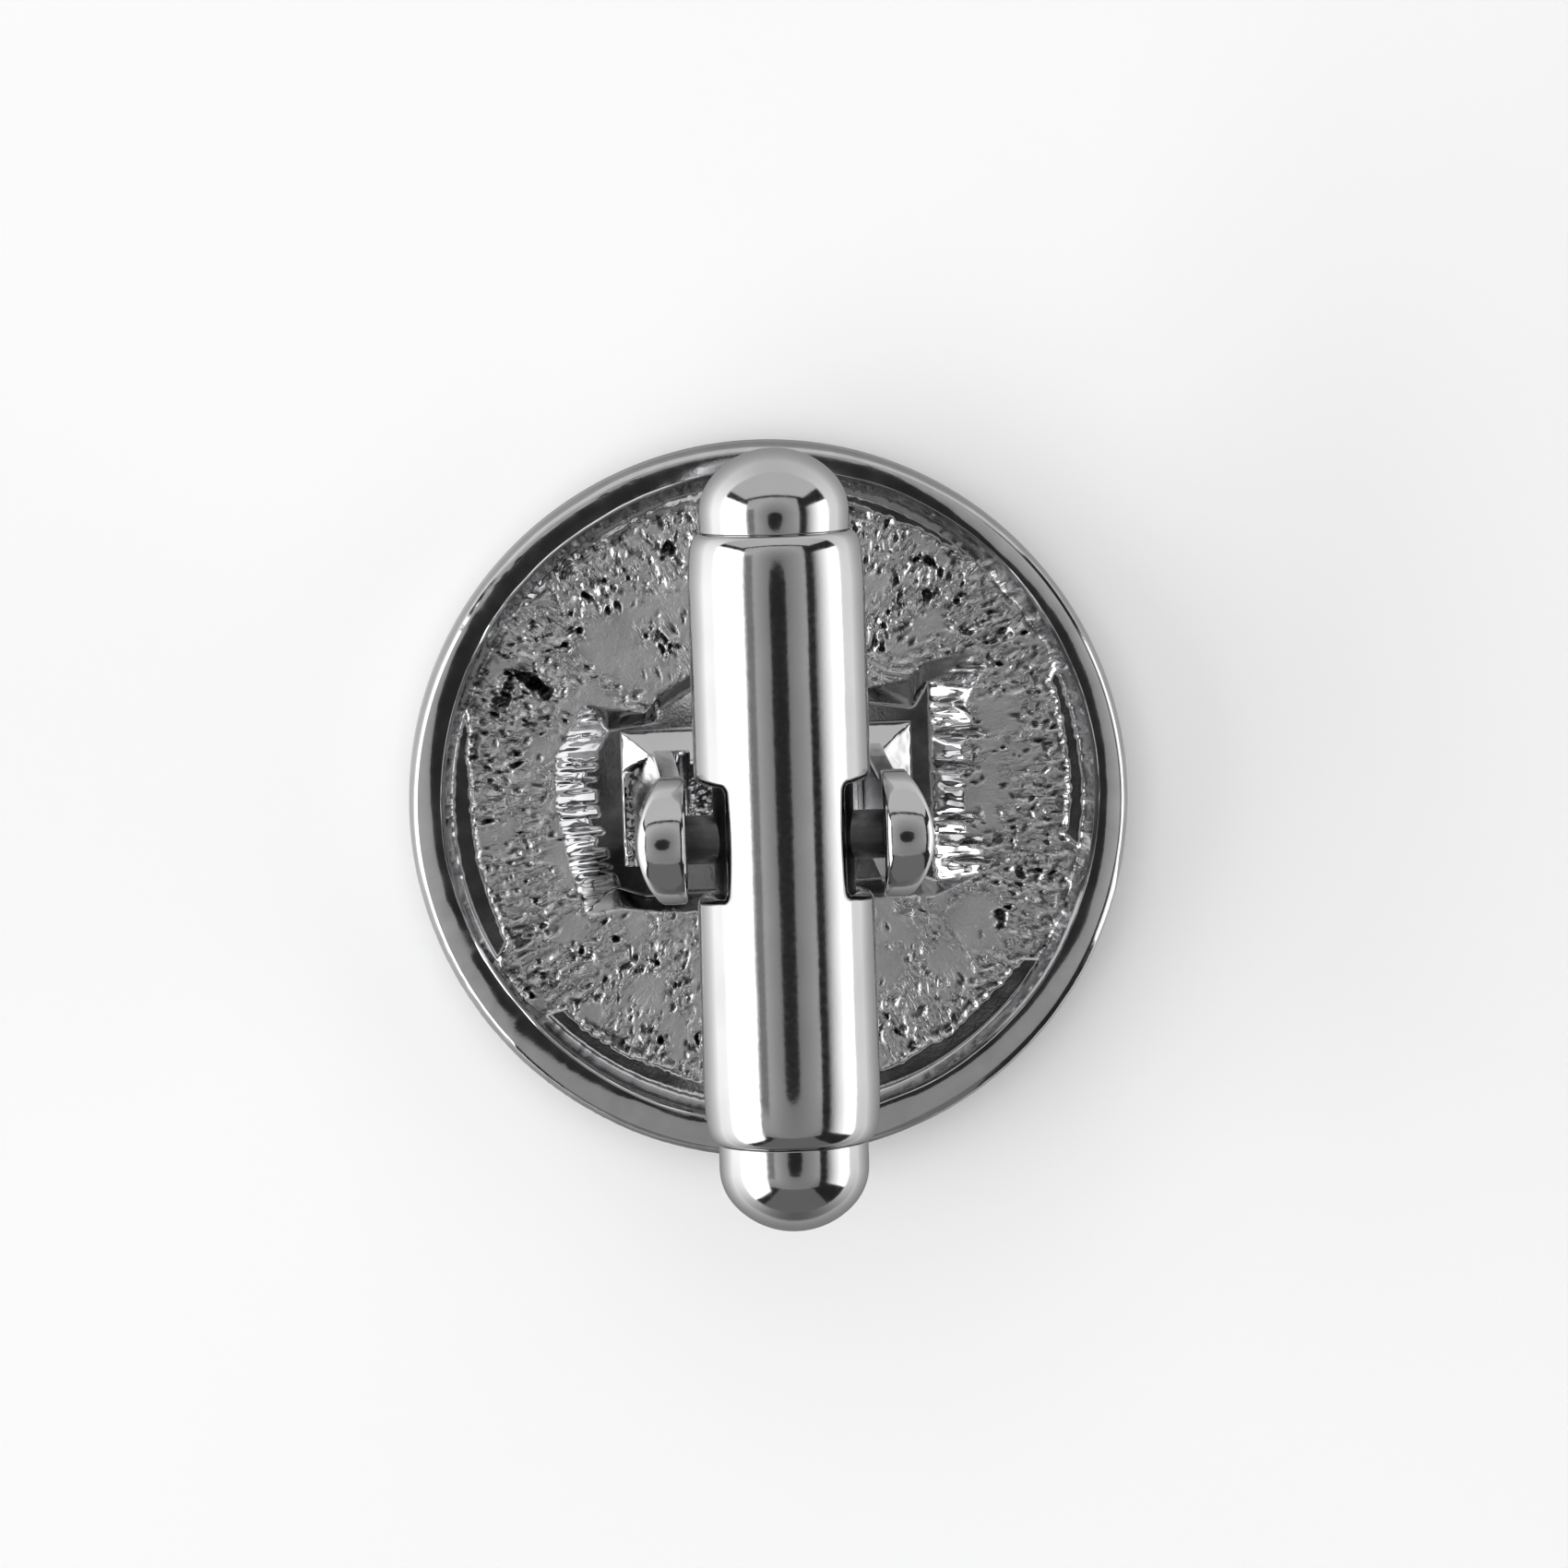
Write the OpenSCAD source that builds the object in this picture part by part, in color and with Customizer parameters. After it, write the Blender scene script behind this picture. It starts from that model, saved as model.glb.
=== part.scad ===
// One cufflink with a swivel bar, lying face down as seen from behind.
// The plain front of the button rests on z = 0 and its recessed back faces up. A fork is soldered into a
// shallow pocket in the back, slightly off centre, and a pin through the fork's two eyes carries the bar.
// X runs along the pin, Y along the bar as it lies when fastened, Z up from the front face.
// The origin is the centre of the button's front face.

/* [Button] */
// Diameter of the round button
button_d = 19; // [18:0.5:24]
// Height of the rim's lip above the front face
rim_h = 2.3; // [2.1:0.1:3]
// Height of the rough cast floor above the front face
floor_h = 1.35; // [1.2:0.05:1.6]
// Depth of the pocket that the fork is soldered into, below the cast floor
pocket_depth = 0.6; // [0.3:0.05:0.7]

/* [Fork] */
// Radius of the two eyes at the top of the fork
eye_r = 1.62; // [1.3:0.02:2]
// Thickness of an eye along the pin
eye_t = 1.26; // [1:0.02:1.6]
// Width of a leg across the pin, below the eye
leg_w = 2.6; // [2:0.1:2.6]
// Free space between the bar and each leg
side_gap = 0.25; // [0.15:0.05:0.5]
// Free space between the fork's foot and the longer end of the bar when it points down
tip_gap = 0.86; // [0.4:0.02:2]
// Shift of the fork and the pin from the button's centre, along the bar
fork_shift = 0.095; // [0:0.005:0.2]

/* [Bar] */
// Outer diameter of the barrel
barrel_d = 4.48; // [4.2:0.02:5]
// Length of the barrel without its end caps
barrel_l = 15.5; // [13:0.05:18]
// Thickness of the barrel's wall
barrel_wall = 0.44; // [0.3:0.02:0.5]
// Diameter of the domed end caps
cap_d = 3.8; // [3.6:0.02:3.8]
// Length of the straight part of the far cap before its dome
cap_base = 0.45; // [0.2:0.05:0.8]
// How much longer the straight part of the near cap is
near_extra = 0.19; // [0:0.01:0.3]
// Length of a cap's slightly flattened dome
cap_dome = 1.65; // [1.55:0.05:1.8]
// Length of the two windows in the barrel's sides
window_l = 3.1; // [2.8:0.1:4]
// Width of the wall left between the windows, over and under the pin
bridge_w = 2.8; // [2.2:0.1:3]
// Diameter of the pivot pin
pin_d = 1.24; // [1:0.02:1.5]

/* [Hidden] */
$fn = 64;

// Play of the turning core round the pin, and of parts that are pressed or soldered in
pin_play = 0.04;
seat_play = 0.02;

// Button: rounding of its front edge and of its back edge, and the rings of its rim from outside in
button_r = button_d / 2;
front_round = 0.9;
rim_round = 0.5;
lip_in_r = button_r - 0.76;
wall_top_r = button_r - 1;
wall_foot_r = button_r - 1.12;
floor_r = button_r - 1.8;
lip_bevel = 0.2;
ledge_rise = 0.1;

// Pocket: reach from the centre at its mouth and at its bottom, on each side
pocket_h = floor_h - pocket_depth;
pocket_mouth = [[-5.65, -2.6], [6.5, 3.3]];
pocket_floor = [[-4.3, -2.3], [4.25, 2.5]];
plate_t = 0.02;

// Fork: the foot flares out below the legs, and the outer side of legs and eyes is domed
barrel_r = barrel_d / 2;
inner_x = barrel_r + side_gap;
outer_x = inner_x + eye_t;
foot_half_y = 1.8;
foot_flare = 0.1;
foot_side_h = 0.35;
foot_rise = 0.6;
foot_slope_x = 0.62;
foot_slope_y = 0.78;
foot_top = pocket_h + foot_side_h + foot_rise;
dome_rise = 0.7;
leg_t = eye_t - 0.12;

// Bar: lengths along Y from the pin's axis
cap_r = cap_d / 2;
barrel_half = barrel_l / 2;
bar_far = barrel_half + seat_play + cap_base + cap_dome;
bar_near = bar_far + near_extra;
shoulder = 0.34;
bore_r = barrel_r - barrel_wall;
spigot_l = 1.5;
cap_side_r = 0.76 * cap_r;
cap_side_x = cap_r - cap_side_r;
cap_tip_r = tip_arc_r(cap_side_x, cap_side_r, cap_dome);
core_l = 5;
window_round = 0.3;
pin_r = pin_d / 2;
pin_proud = 0.03;
pin_z = foot_top + tip_gap + bar_near;

// Radius of an arc over a chord of the given half length that rises by the given amount
function arc_r(half, rise) = (half * half + rise * rise) / (2 * rise);

// Radius of an arc about the axis that tops a dome of the given height and runs smoothly into the
// dome's side, an arc of radius side_r about a point at distance side_x from the axis
function tip_arc_r(side_x, side_r, height) =
    (height * height + side_x * side_x - side_r * side_r) / (2 * (height - side_r));

// Box between two corners given as [[x0, y0], [x1, y1]], one plate thick, at height z
module plate(corners, z) {
    size = corners[1] - corners[0];
    translate([corners[0][0], corners[0][1], z])
        cube([size[0], size[1], plate_t]);
}

// Half section of the button, with X as the radius and Y as the height
module button_section() {
    difference() {
        union() {
            square([button_r - front_round, rim_h]);
            translate([0, front_round])
                square([button_r - rim_round, rim_h - front_round]);
            translate([0, front_round])
                square([button_r, rim_h - front_round - rim_round]);
            intersection() {
                translate([button_r - front_round, front_round])
                    circle(front_round);
                square([button_r, front_round]);
            }
            intersection() {
                translate([button_r - rim_round, rim_h - rim_round])
                    circle(rim_round);
                translate([0, rim_h - rim_round])
                    square([button_r, rim_round]);
            }
        }
        polygon([
            [0, floor_h],
            [floor_r, floor_h],
            [floor_r, floor_h + ledge_rise],
            [wall_foot_r, floor_h + ledge_rise],
            [wall_top_r, rim_h - lip_bevel],
            [lip_in_r, rim_h],
            [lip_in_r, rim_h + 1],
            [0, rim_h + 1]
        ]);
    }
}

module casting() {
    difference() {
        rotate_extrude()
            button_section();
        hull() {
            plate(pocket_floor, pocket_h);
            plate(pocket_mouth, floor_h);
        }
    }
}

// Foot of the fork: straight sides out of the pocket, then slopes up to the legs
module foot() {
    low_x = outer_x + foot_flare;
    low = [[-low_x, -foot_half_y], [low_x, foot_half_y]];
    high_x = low_x - foot_rise / foot_slope_x;
    high_y = foot_half_y - foot_rise / foot_slope_y;
    high = [[-high_x, -high_y], [high_x, high_y]];
    hull() {
        plate(low, pocket_h - plate_t);
        plate(low, pocket_h + foot_side_h);
        plate(high, foot_top - plate_t);
    }
}

// Leg on the +X side, flat inside and domed outside, from the foot into the eye
module leg() {
    height = pin_z - eye_r / 2 - pocket_h;
    dome = arc_r(leg_w / 2, dome_rise);
    translate([inner_x, 0, pocket_h])
        intersection() {
            translate([0, -leg_w / 2, 0])
                cube([leg_t, leg_w, height]);
            translate([leg_t - dome, 0, 0])
                cylinder(r = dome, h = height);
        }
}

// Eye on the +X side, a round end with the leg's flat inner and domed outer side
module eye() {
    dome = arc_r(eye_r, dome_rise);
    translate([inner_x, 0, pin_z])
        intersection() {
            rotate([0, 90, 0])
                cylinder(r = eye_r, h = eye_t);
            translate([eye_t - dome, 0, -2 * eye_r])
                cylinder(r = dome, h = 4 * eye_r);
        }
}

module fork() {
    foot();
    for (side = [0, 1])
        mirror([side, 0, 0]) {
            leg();
            eye();
        }
}

module button() {
    color("silver")
        difference() {
            union() {
                casting();
                translate([0, fork_shift, 0])
                    fork();
            }
            translate([-outer_x - 1, fork_shift, pin_z])
                rotate([0, 90, 0])
                    cylinder(r = pin_r + seat_play, h = 2 * outer_x + 2);
        }
}

module pivot_pin() {
    half = outer_x + pin_proud;
    color("dimgray")
        translate([-half, fork_shift, pin_z])
            rotate([0, 90, 0])
                cylinder(r = pin_r, h = 2 * half);
}

// Half section of the barrel, with X as the radius and Y along its axis
module barrel_section() {
    difference() {
        union() {
            translate([0, -barrel_half + shoulder])
                square([barrel_r, barrel_l - 2 * shoulder]);
            translate([0, -barrel_half])
                square([barrel_r - shoulder, barrel_l]);
            for (end = [-1, 1])
                translate([barrel_r - shoulder, end * (barrel_half - shoulder)])
                    circle(shoulder);
        }
        translate([0, -barrel_half - 1])
            square([bore_r, barrel_l + 2]);
    }
}

// Cuts the window on the +X side, with rounded corners next to the bridge
module window_cut() {
    x = bridge_w / 2;
    corner_y = window_l / 2 - window_round;
    translate([0, 0, -barrel_r]) {
        translate([x + window_round, -window_l / 2, 0])
            cube([barrel_r, window_l, barrel_d]);
        translate([x, -corner_y, 0])
            cube([barrel_r, 2 * corner_y, barrel_d]);
        for (end = [-1, 1])
            translate([x + window_round, end * corner_y, 0])
                cylinder(r = window_round, h = barrel_d);
    }
}

module barrel() {
    color("gainsboro")
        translate([0, fork_shift, pin_z])
            difference() {
                rotate([-90, 0, 0])
                    rotate_extrude()
                        barrel_section();
                for (side = [0, 1])
                    mirror([side, 0, 0])
                        window_cut();
            }
}

// Plug inside the barrel that turns on the pin
module core() {
    color("dimgray")
        translate([0, fork_shift, pin_z])
            difference() {
                translate([0, core_l / 2, 0])
                    rotate([90, 0, 0])
                        cylinder(r = bore_r - seat_play, h = core_l);
                translate([-barrel_r, 0, 0])
                    rotate([0, 90, 0])
                        cylinder(r = pin_r + pin_play, h = barrel_d);
            }
}

// Half section of a cap with a straight part of the given length, and its seat on the barrel's end at
// height 0. The dome's side is an arc, and a wedge of a wider arc about the axis tops it, up to where the
// two arcs meet.
module cap_section(straight) {
    wedge_reach = 6;
    square([cap_r, straight]);
    translate([0, -spigot_l])
        square([bore_r - seat_play, spigot_l + straight]);
    translate([0, straight]) {
        intersection() {
            translate([cap_side_x, 0])
                circle(cap_side_r);
            translate([cap_side_x, 0])
                square(cap_side_r);
        }
        translate([0, cap_dome - cap_tip_r])
            intersection() {
                circle(cap_tip_r);
                polygon([[0, 0], [0, 2 * cap_tip_r], wedge_reach * [cap_side_x, cap_tip_r - cap_dome]]);
            }
    }
}

// Cap on the +Y end of a bar that lies along Y through the origin
module end_cap(straight) {
    color("silver")
        translate([0, barrel_half + seat_play, 0])
            rotate([-90, 0, 0])
                rotate_extrude()
                    cap_section(straight);
}

module end_cap_far() {
    translate([0, fork_shift, pin_z])
        end_cap(cap_base);
}

module end_cap_near() {
    translate([0, fork_shift, pin_z])
        mirror([0, 1, 0])
            end_cap(cap_base + near_extra);
}

button();
pivot_pin();
barrel();
core();
end_cap_far();
end_cap_near();
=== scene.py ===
import math

import bmesh
import bpy
import numpy as np
from mathutils import Matrix, Vector


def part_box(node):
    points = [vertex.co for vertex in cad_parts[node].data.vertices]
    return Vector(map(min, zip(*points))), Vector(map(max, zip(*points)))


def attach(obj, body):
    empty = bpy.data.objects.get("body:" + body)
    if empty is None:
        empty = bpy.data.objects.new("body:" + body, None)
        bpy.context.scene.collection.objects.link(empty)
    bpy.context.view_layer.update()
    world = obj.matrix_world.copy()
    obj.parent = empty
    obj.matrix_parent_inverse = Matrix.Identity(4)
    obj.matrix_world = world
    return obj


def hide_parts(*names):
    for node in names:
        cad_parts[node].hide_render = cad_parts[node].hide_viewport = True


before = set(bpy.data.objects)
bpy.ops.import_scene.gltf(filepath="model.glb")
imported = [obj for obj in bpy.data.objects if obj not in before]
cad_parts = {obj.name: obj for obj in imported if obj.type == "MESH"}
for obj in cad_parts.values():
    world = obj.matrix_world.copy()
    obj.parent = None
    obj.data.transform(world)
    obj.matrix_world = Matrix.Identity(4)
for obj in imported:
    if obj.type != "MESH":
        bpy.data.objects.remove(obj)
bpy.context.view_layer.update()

# Lengths are in millimetres until a mesh is made. Angles are in radians where no comment says degrees.
MM = 0.001

# Points of a mesh that are closer than this become one
JOIN = 0.0004


def frame_box(node):
    """Lowest and highest corner of a solid of the frame, in millimetres."""
    low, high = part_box(node)
    return np.array(low) / MM, np.array(high) / MM


# Sizes taken from the frame, and the gap left round seated pieces
button_low, button_high = frame_box("button")
pin_low, pin_high = frame_box("pivot_pin")
barrel_low, barrel_high = frame_box("barrel")
core_low, core_high = frame_box("core")
cap_low, cap_high = frame_box("end_cap_far")
near_cap_low = frame_box("end_cap_near")[0]
BUTTON_R = min(button_high[0], -button_low[0])
PIN_Y = (pin_low[1] + pin_high[1]) / 2
PIN_Z = (pin_low[2] + pin_high[2]) / 2
PIN_R = (pin_high[2] - pin_low[2]) / 2
PIN_HALF = pin_high[0]
EYE_R = button_high[2] - PIN_Z
BARREL_R = (barrel_high[2] - barrel_low[2]) / 2
BARREL_HALF = barrel_high[1] - PIN_Y
SEAT_PLAY = 0.02
BORE_R = (core_high[2] - core_low[2]) / 2 + SEAT_PLAY
CAP_R = (cap_high[2] - cap_low[2]) / 2
FAR_TIP = cap_high[1] - PIN_Y
NEAR_TIP = PIN_Y - near_cap_low[1]
CAP_SEAT = BARREL_HALF + SEAT_PLAY
SPIGOT_END = cap_low[1] - PIN_Y

# Button: heights of its rim, cast floor, ledge, pocket and recess wall, length of the wall's rounded foot,
# where the side is upright, rounding of the front edge, and radius and half count of the recess's grid
RIM_H = 2.3
FLOOR_H = 1.35
LEDGE_H = 1.45
POCKET_H = 0.75
WALL_TOP = 2.13
WALL_FOOT_L = 0.2
SIDE_TOP = 1.75
SIDE_MIDDLE = 1.2
FRONT_ROUND = 0.9
GRID_R = 8.38
GRID_COUNT = 138

# Fork: half sizes, top, side height, slopes and edge rounding of its foot, inner side of its legs, leg's and
# eye's thickness at the edge, rise of their domed outer side, leg's half width, and its fillet to the foot
FOOT_HALF = (3.85, 1.8)
FOOT_TOP = 1.7
FOOT_SIDE = 1.1
FOOT_SLOPES = (0.62, 0.78)
FOOT_ROUND = 0.045
FORK_IN = 2.49
LEG_EDGE = 0.44
EYE_EDGE = 0.56
DOME_RISE = 0.7
LEG_HALF = 1.3
FORK_FILLET = 0.5

# Bevels of the legs' inner and outer edge, what they gain at the top of an eye, and the crown of its edge
INNER_BEVEL = 0.07
OUTER_BEVEL = 0.08
LEFT_EYE_BEVEL = 0.14
RIGHT_EYE_BEVEL = 0.16
OUTER_EYE_BEVEL = 0.17
EYE_CROWN = 0.04

# Bar: windows in the barrel's sides, its swaged ends and their shoulders, and the domes of its caps
WINDOW_HALF = 1.41
BRIDGE_HALF = 1.52
WINDOW_CORNER = 0.22
WINDOW_ROUND = 0.24
SWAGE_L = 1.5
SWAGE_CURVE = 0.055
SHOULDER_L = 0.5
END_DROP = 0.34
CAP_DOME = 1.65
CAP_SIDE_R = 0.76 * CAP_R


def smooth(x, low, high):
    """0 below low, 1 above high, with a smooth rise between them."""
    t = np.clip((x - low) / (high - low), 0, 1)
    return t * t * (3 - 2 * t)


# Multipliers of the hash behind the fixed random values
HASH = (374761393, 668265263, 40503, 1274126177)


def lattice(ix, iy, seed):
    """Fixed random values from -1 to 1 at whole-number places."""
    h = (ix * HASH[0] + iy * HASH[1] + seed * HASH[2]) & 0xFFFFFFFF
    h = ((h ^ (h >> 13)) * HASH[3]) & 0xFFFFFFFF
    return ((h ^ (h >> 16)) & 0xFFFFFF) / 0x7FFFFF - 1


def noise(x, y, seed, wrap=None):
    """Smooth noise from -1 to 1. With wrap, it repeats along x after that many cells."""
    ix, iy = np.floor(x).astype(np.int64), np.floor(y).astype(np.int64)
    u, v = x - ix, y - iy
    u, v = u * u * (3 - 2 * u), v * v * (3 - 2 * v)
    jx = ix + 1
    if wrap:
        ix, jx = ix % wrap, jx % wrap
    low = lattice(ix, iy, seed) * (1 - u) + lattice(jx, iy, seed) * u
    high = lattice(ix, iy + 1, seed) * (1 - u) + lattice(jx, iy + 1, seed) * u
    return low * (1 - v) + high * v


def rough_noise(x, y, seed, octaves=3, wrap=None):
    """Sum of noises at doubling frequency and halving height."""
    return sum(noise(x * 2**k, y * 2**k, seed + k, wrap and wrap * 2**k) / 2**k for k in range(octaves))


def round_noise(turn, cells, seed, across=0.0, octaves=1):
    """Noise round the button, with this many cells in a full turn."""
    return rough_noise(turn * (cells / 2) / math.pi, turn * 0 + across, seed, octaves, wrap=cells)


def drift(x, y, size, amount, seed):
    """Small random shifts of points along x and y."""
    return amount * np.array([noise(x / size, y / size, seed + k) for k in (0, 1)])


def at(*parts):
    """Points from their coordinates, each a number or an array."""
    return np.stack(np.broadcast_arrays(*parts), -1)


def bend(first, steps):
    """Shares along and down of a round edge that starts at a slope, given as an angle, and ends upright."""
    for k in range(1, steps + 1):
        a = first + (math.pi / 2 - first) * k / steps
        yield (np.sin(a) - np.sin(first)) / (1 - np.sin(first)), (np.cos(first) - np.cos(a)) / np.cos(first)


class Shell:
    """Collects grids of points that meet at their edges, and makes one mesh object of them."""

    def __init__(self):
        self.points = []
        self.faces = []
        self.count = 0

    def take(self, points):
        points = np.asarray(points, float)
        index = self.count + np.arange(len(points))
        self.points.append(points)
        self.count += len(points)
        return index

    def grid(self, points, wrap=False):
        """Adds a grid of points of shape (rows, columns, 3). With wrap, each row is a closed loop."""
        points = np.asarray(points, float)
        rows, columns = points.shape[:2]
        index = self.take(points.reshape(-1, 3)).reshape(rows, columns)
        if wrap:
            index = np.hstack([index, index[:, :1]])
        quads = np.stack([index[:-1, :-1], index[:-1, 1:], index[1:, 1:], index[1:, :-1]], -1)
        self.faces += quads.reshape(-1, 4).tolist()

    def cap(self, loop):
        """Closes a loop of points with a fan round its middle."""
        loop = np.asarray(loop, float)
        ring = self.take(loop)
        middle = self.take([loop.mean(0)])[0]
        self.faces += [[int(a), int(b), int(middle)] for a, b in zip(ring, np.roll(ring, -1))]

    def halve(self, fine, coarse):
        """Joins a closed loop to one that has every second of its points."""
        a, b = self.take(fine), self.take(coarse)
        n = len(b)
        for i in range(n):
            j, k = (2 * i + 2) % len(a), (i + 1) % n
            self.faces += [
                [int(a[2 * i]), int(a[2 * i + 1]), int(b[i])],
                [int(a[2 * i + 1]), int(b[k]), int(b[i])],
                [int(a[2 * i + 1]), int(a[j]), int(b[k])],
            ]

    def build(self, name, sharp=40, shift=0.0):
        """Joins the grids where they meet, turns all faces outward and marks the edges that are sharp, in
        degrees. Shift moves all points along Y."""
        mesh = bpy.data.meshes.new(name)
        points = np.vstack(self.points) + [0, shift, 0]
        mesh.from_pydata((points * MM).tolist(), [], self.faces)
        finish_mesh(mesh, sharp)
        obj = bpy.data.objects.new(name, mesh)
        bpy.context.scene.collection.objects.link(obj)
        return obj


def finish_mesh(mesh, sharp):
    """Joins points at the same place, turns the faces outward and marks the edges sharper than an angle."""
    bm = bmesh.new()
    bm.from_mesh(mesh)
    bmesh.ops.remove_doubles(bm, verts=bm.verts, dist=JOIN * MM)
    bmesh.ops.dissolve_degenerate(bm, edges=bm.edges, dist=JOIN * MM / 4)
    bmesh.ops.recalc_face_normals(bm, faces=bm.faces)
    limit = math.radians(sharp)
    for face in bm.faces:
        face.smooth = True
    for edge in bm.edges:
        edge.smooth = len(edge.link_faces) == 2 and edge.calc_face_angle() < limit
    bm.to_mesh(mesh)
    bm.free()


def border(points):
    """Closed loop of the points along the four sides of a grid."""
    return np.vstack([points[-1, :-1], points[::-1, -1][:-1], points[0, ::-1][:-1], points[:-1, 0]])


def dress(obj, body, slot, material, *nodes):
    """Sets what a piece rides on, its material and the solids that it stands for. Its slot is not used."""
    obj.data.materials.clear()
    obj.data.materials.append(material)
    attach(obj, body)
    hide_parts(*nodes)


# Button's recess

# Inner edge of the flat ledge: direction in degrees and distance from the centre
LEDGE = (
    (-12, 8.45), (-9, 7.85), (0, 7.9), (12, 7.95), (21, 8.0), (24, 8.45), (44, 8.45), (48, 8.2),
    (60, 8.05), (75, 8.05), (95, 8.1), (115, 8.1), (130, 8.2), (143, 8.3), (150, 8.4), (160, 8.4),
    (166, 8.05), (180, 7.78), (195, 7.78), (207, 7.85), (210, 8.45), (221, 8.45), (224, 7.75),
    (240, 7.68), (255, 7.62), (270, 7.6), (290, 7.75), (305, 7.8), (318, 7.85), (326, 7.95),
    (328, 8.45), (347, 8.45),
)

# Where the recess's wall starts to rise: direction in degrees, distance from the centre and jaggedness
WALL_FOOT = (
    (-16, 8.26, 0.035), (22, 8.28, 0.035), (30, 8.34, 0.035), (100, 8.3, 0.03), (115, 8.18, 0.03),
    (160, 8.25, 0.03), (166, 8.28, 0.035), (208, 8.3, 0.035), (216, 8.2, 0.02), (223, 8.07, 0.008),
    (255, 8.07, 0.008), (290, 8.3, 0.008), (313, 8.32, 0.01), (325, 8.3, 0.03),
)

# Pocket: its mouth on the left and right, its mouth and bottom on the far and near side, as places along the
# side and reach, and X where the right flank meets the bottom
LEFT_MOUTH = (
    (-3.0, -4.2), (-2.86, -4.95), (-1.56, -5.35), (0.06, -5.65), (1.34, -5.6), (2.34, -5.03), (2.7, -4.7),
)
RIGHT_MOUTH = (
    (-2.4, 5.7), (-1.8, 6.6), (-1.32, 6.67), (-0.59, 6.11), (0.3, 6.4), (1.21, 6.1), (1.8, 5.61),
    (2.3, 5.3), (2.86, 5.54), (3.42, 6.01),
)
FAR_MOUTH = (
    (-5.2, 2.75), (-4.44, 2.61), (-3.17, 2.39), (-2.83, 2.89), (-1.87, 3.37), (-0.7, 3.55),
    (1.75, 3.47), (2.73, 2.87), (3.8, 3.08), (4.26, 3.5), (5.2, 3.7), (6, 3.5),
)
FAR_FLOOR = (
    (-5.2, 2.6), (-4.6, 2.4), (-4.2, 1.9), (-2.87, 2.08), (-2.84, 2.4), (-1.91, 3.0), (-0.7, 3.18),
    (1.27, 3.12), (2.6, 2.46), (3.9, 2.24), (4.3, 2.9),
)
NEAR_MOUTH = (
    (-5.0, -3.0), (-4.0, -2.8), (-3.15, -2.9), (-1.88, -3.0), (2.5, -2.77), (4.3, -2.75), (5.7, -2.15),
    (6.7, -2.0),
)
NEAR_FLOOR = ((-4.28, -2.2), (-3.3, -2.55), (4.0, -2.25), (4.4, -2.4), (5.6, -1.9))
RIGHT_FOOT = 4.37

# Rim: direction in degrees, and distances from the centre between which its top is nearly level
CREST = (
    (0, 8.71, 8.92), (25, 8.77, 9.04), (45, 8.83, 8.95), (65, 8.87, 9.19), (75, 8.83, 9.23), (115, 8.75, 9.2),
    (145, 8.75, 9.2), (160, 8.71, 9.13), (180, 8.67, 8.92), (205, 8.62, 8.86), (220, 8.55, 9.01),
    (235, 8.55, 8.86), (245, 8.56, 8.7), (290, 8.55, 8.68), (300, 8.62, 8.76), (315, 8.65, 8.79),
    (325, 8.68, 8.83), (335, 8.67, 8.98), (345, 8.68, 8.93),
)

# Thin bead along the rim's inner edge: direction in degrees and share of its height
BEAD = ((100, 0.0), (110, 1.0), (148, 1.0), (154, 0.0), (200, 0.0), (206, 1.0), (252, 1.0), (262, 0.0))

# Height of that bead, length and slope of the steep bevel that it tops, and where the rim's top ends
BEAD_H = 0.024
BEVEL_L = 0.12
BEVEL_SLOPE = 1.35
TOP_EDGE_R = 9.27

# Left flank of the pocket: slope of its rows, and how much flatter every second one is
ROW_SLOPES = (0.75, 0.21)

# Right flank of the pocket: slope of its bars beside the leg and beyond it, and share of it in the gaps
BAR_SLOPES = (0.72, 0.5)
GAP_SHARE = 0.62

# Pocket's side flanks: length and width of the left one's rows and of the right one's bars
ROW_SIZE = (2.5, 0.11)
BAR_SIZE = (3.0, 0.15)

# Cast floor: size and height of its swells, worm-like ridges and lumps, and of the grooves that point to the
# centre their number in a full turn, length and height
SWELL_SIZE = 1.5
SWELL_H = 0.035
WORM_SIZE = 0.24
WORM_H = 0.07
LUMP_SIZE = 0.13
LUMP_H = 0.022
GROOVE_COUNT = 280
GROOVE_L = 0.4
GROOVE_H = 0.035

# Flow lines at the pocket's far side: height, spacing, middle, and how far they spread from there
FLOW_H = 0.07
FLOW_STEP = 0.26
FLOW_SPOT = (3.3, 3.0)
FLOW_SPREAD = (0.6, 0.7)

# Number of the cast floor's small pits, and radius of the circle in which they are
PIT_COUNT = 1000
PIT_REACH = 8.2

# Smooth patches of the cast floor: x, y and radius
PATCHES = (
    (-4.08, 4.21, 0.9), (-3.37, 3.6, 0.7), (5.45, -3.48, 0.9), (-5.3, -3.3, 0.5), (2.9, -4.6, 0.6),
    (-5.9, 1.5, 0.4), (-3.4, -5.0, 0.5), (3.0, 5.6, 0.35), (-4.9, -5.6, 0.4), (6.4, 2.1, 0.4),
)

# Clusters of pits: x, y and radius
CLUSTERS = (
    (4.0, 5.8, 0.75), (-6.2, 3.3, 0.6), (-2.4, 6.7, 0.5), (-7.2, 1.3, 0.9), (-3.5, -4.2, 0.5),
    (-3.3, -6.5, 0.5), (-6.1, -3.8, 0.5), (-2.5, -5.2, 0.4), (5.9, 4.4, 0.6), (3.0, -6.3, 0.6),
    (6.6, -1.9, 0.6), (2.7, 3.9, 0.4), (-6.9, 2.7, 0.8), (-6.4, 4.5, 0.6), (-2.7, 4.2, 0.5), (-5.9, 2.3, 0.4),
)

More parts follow.
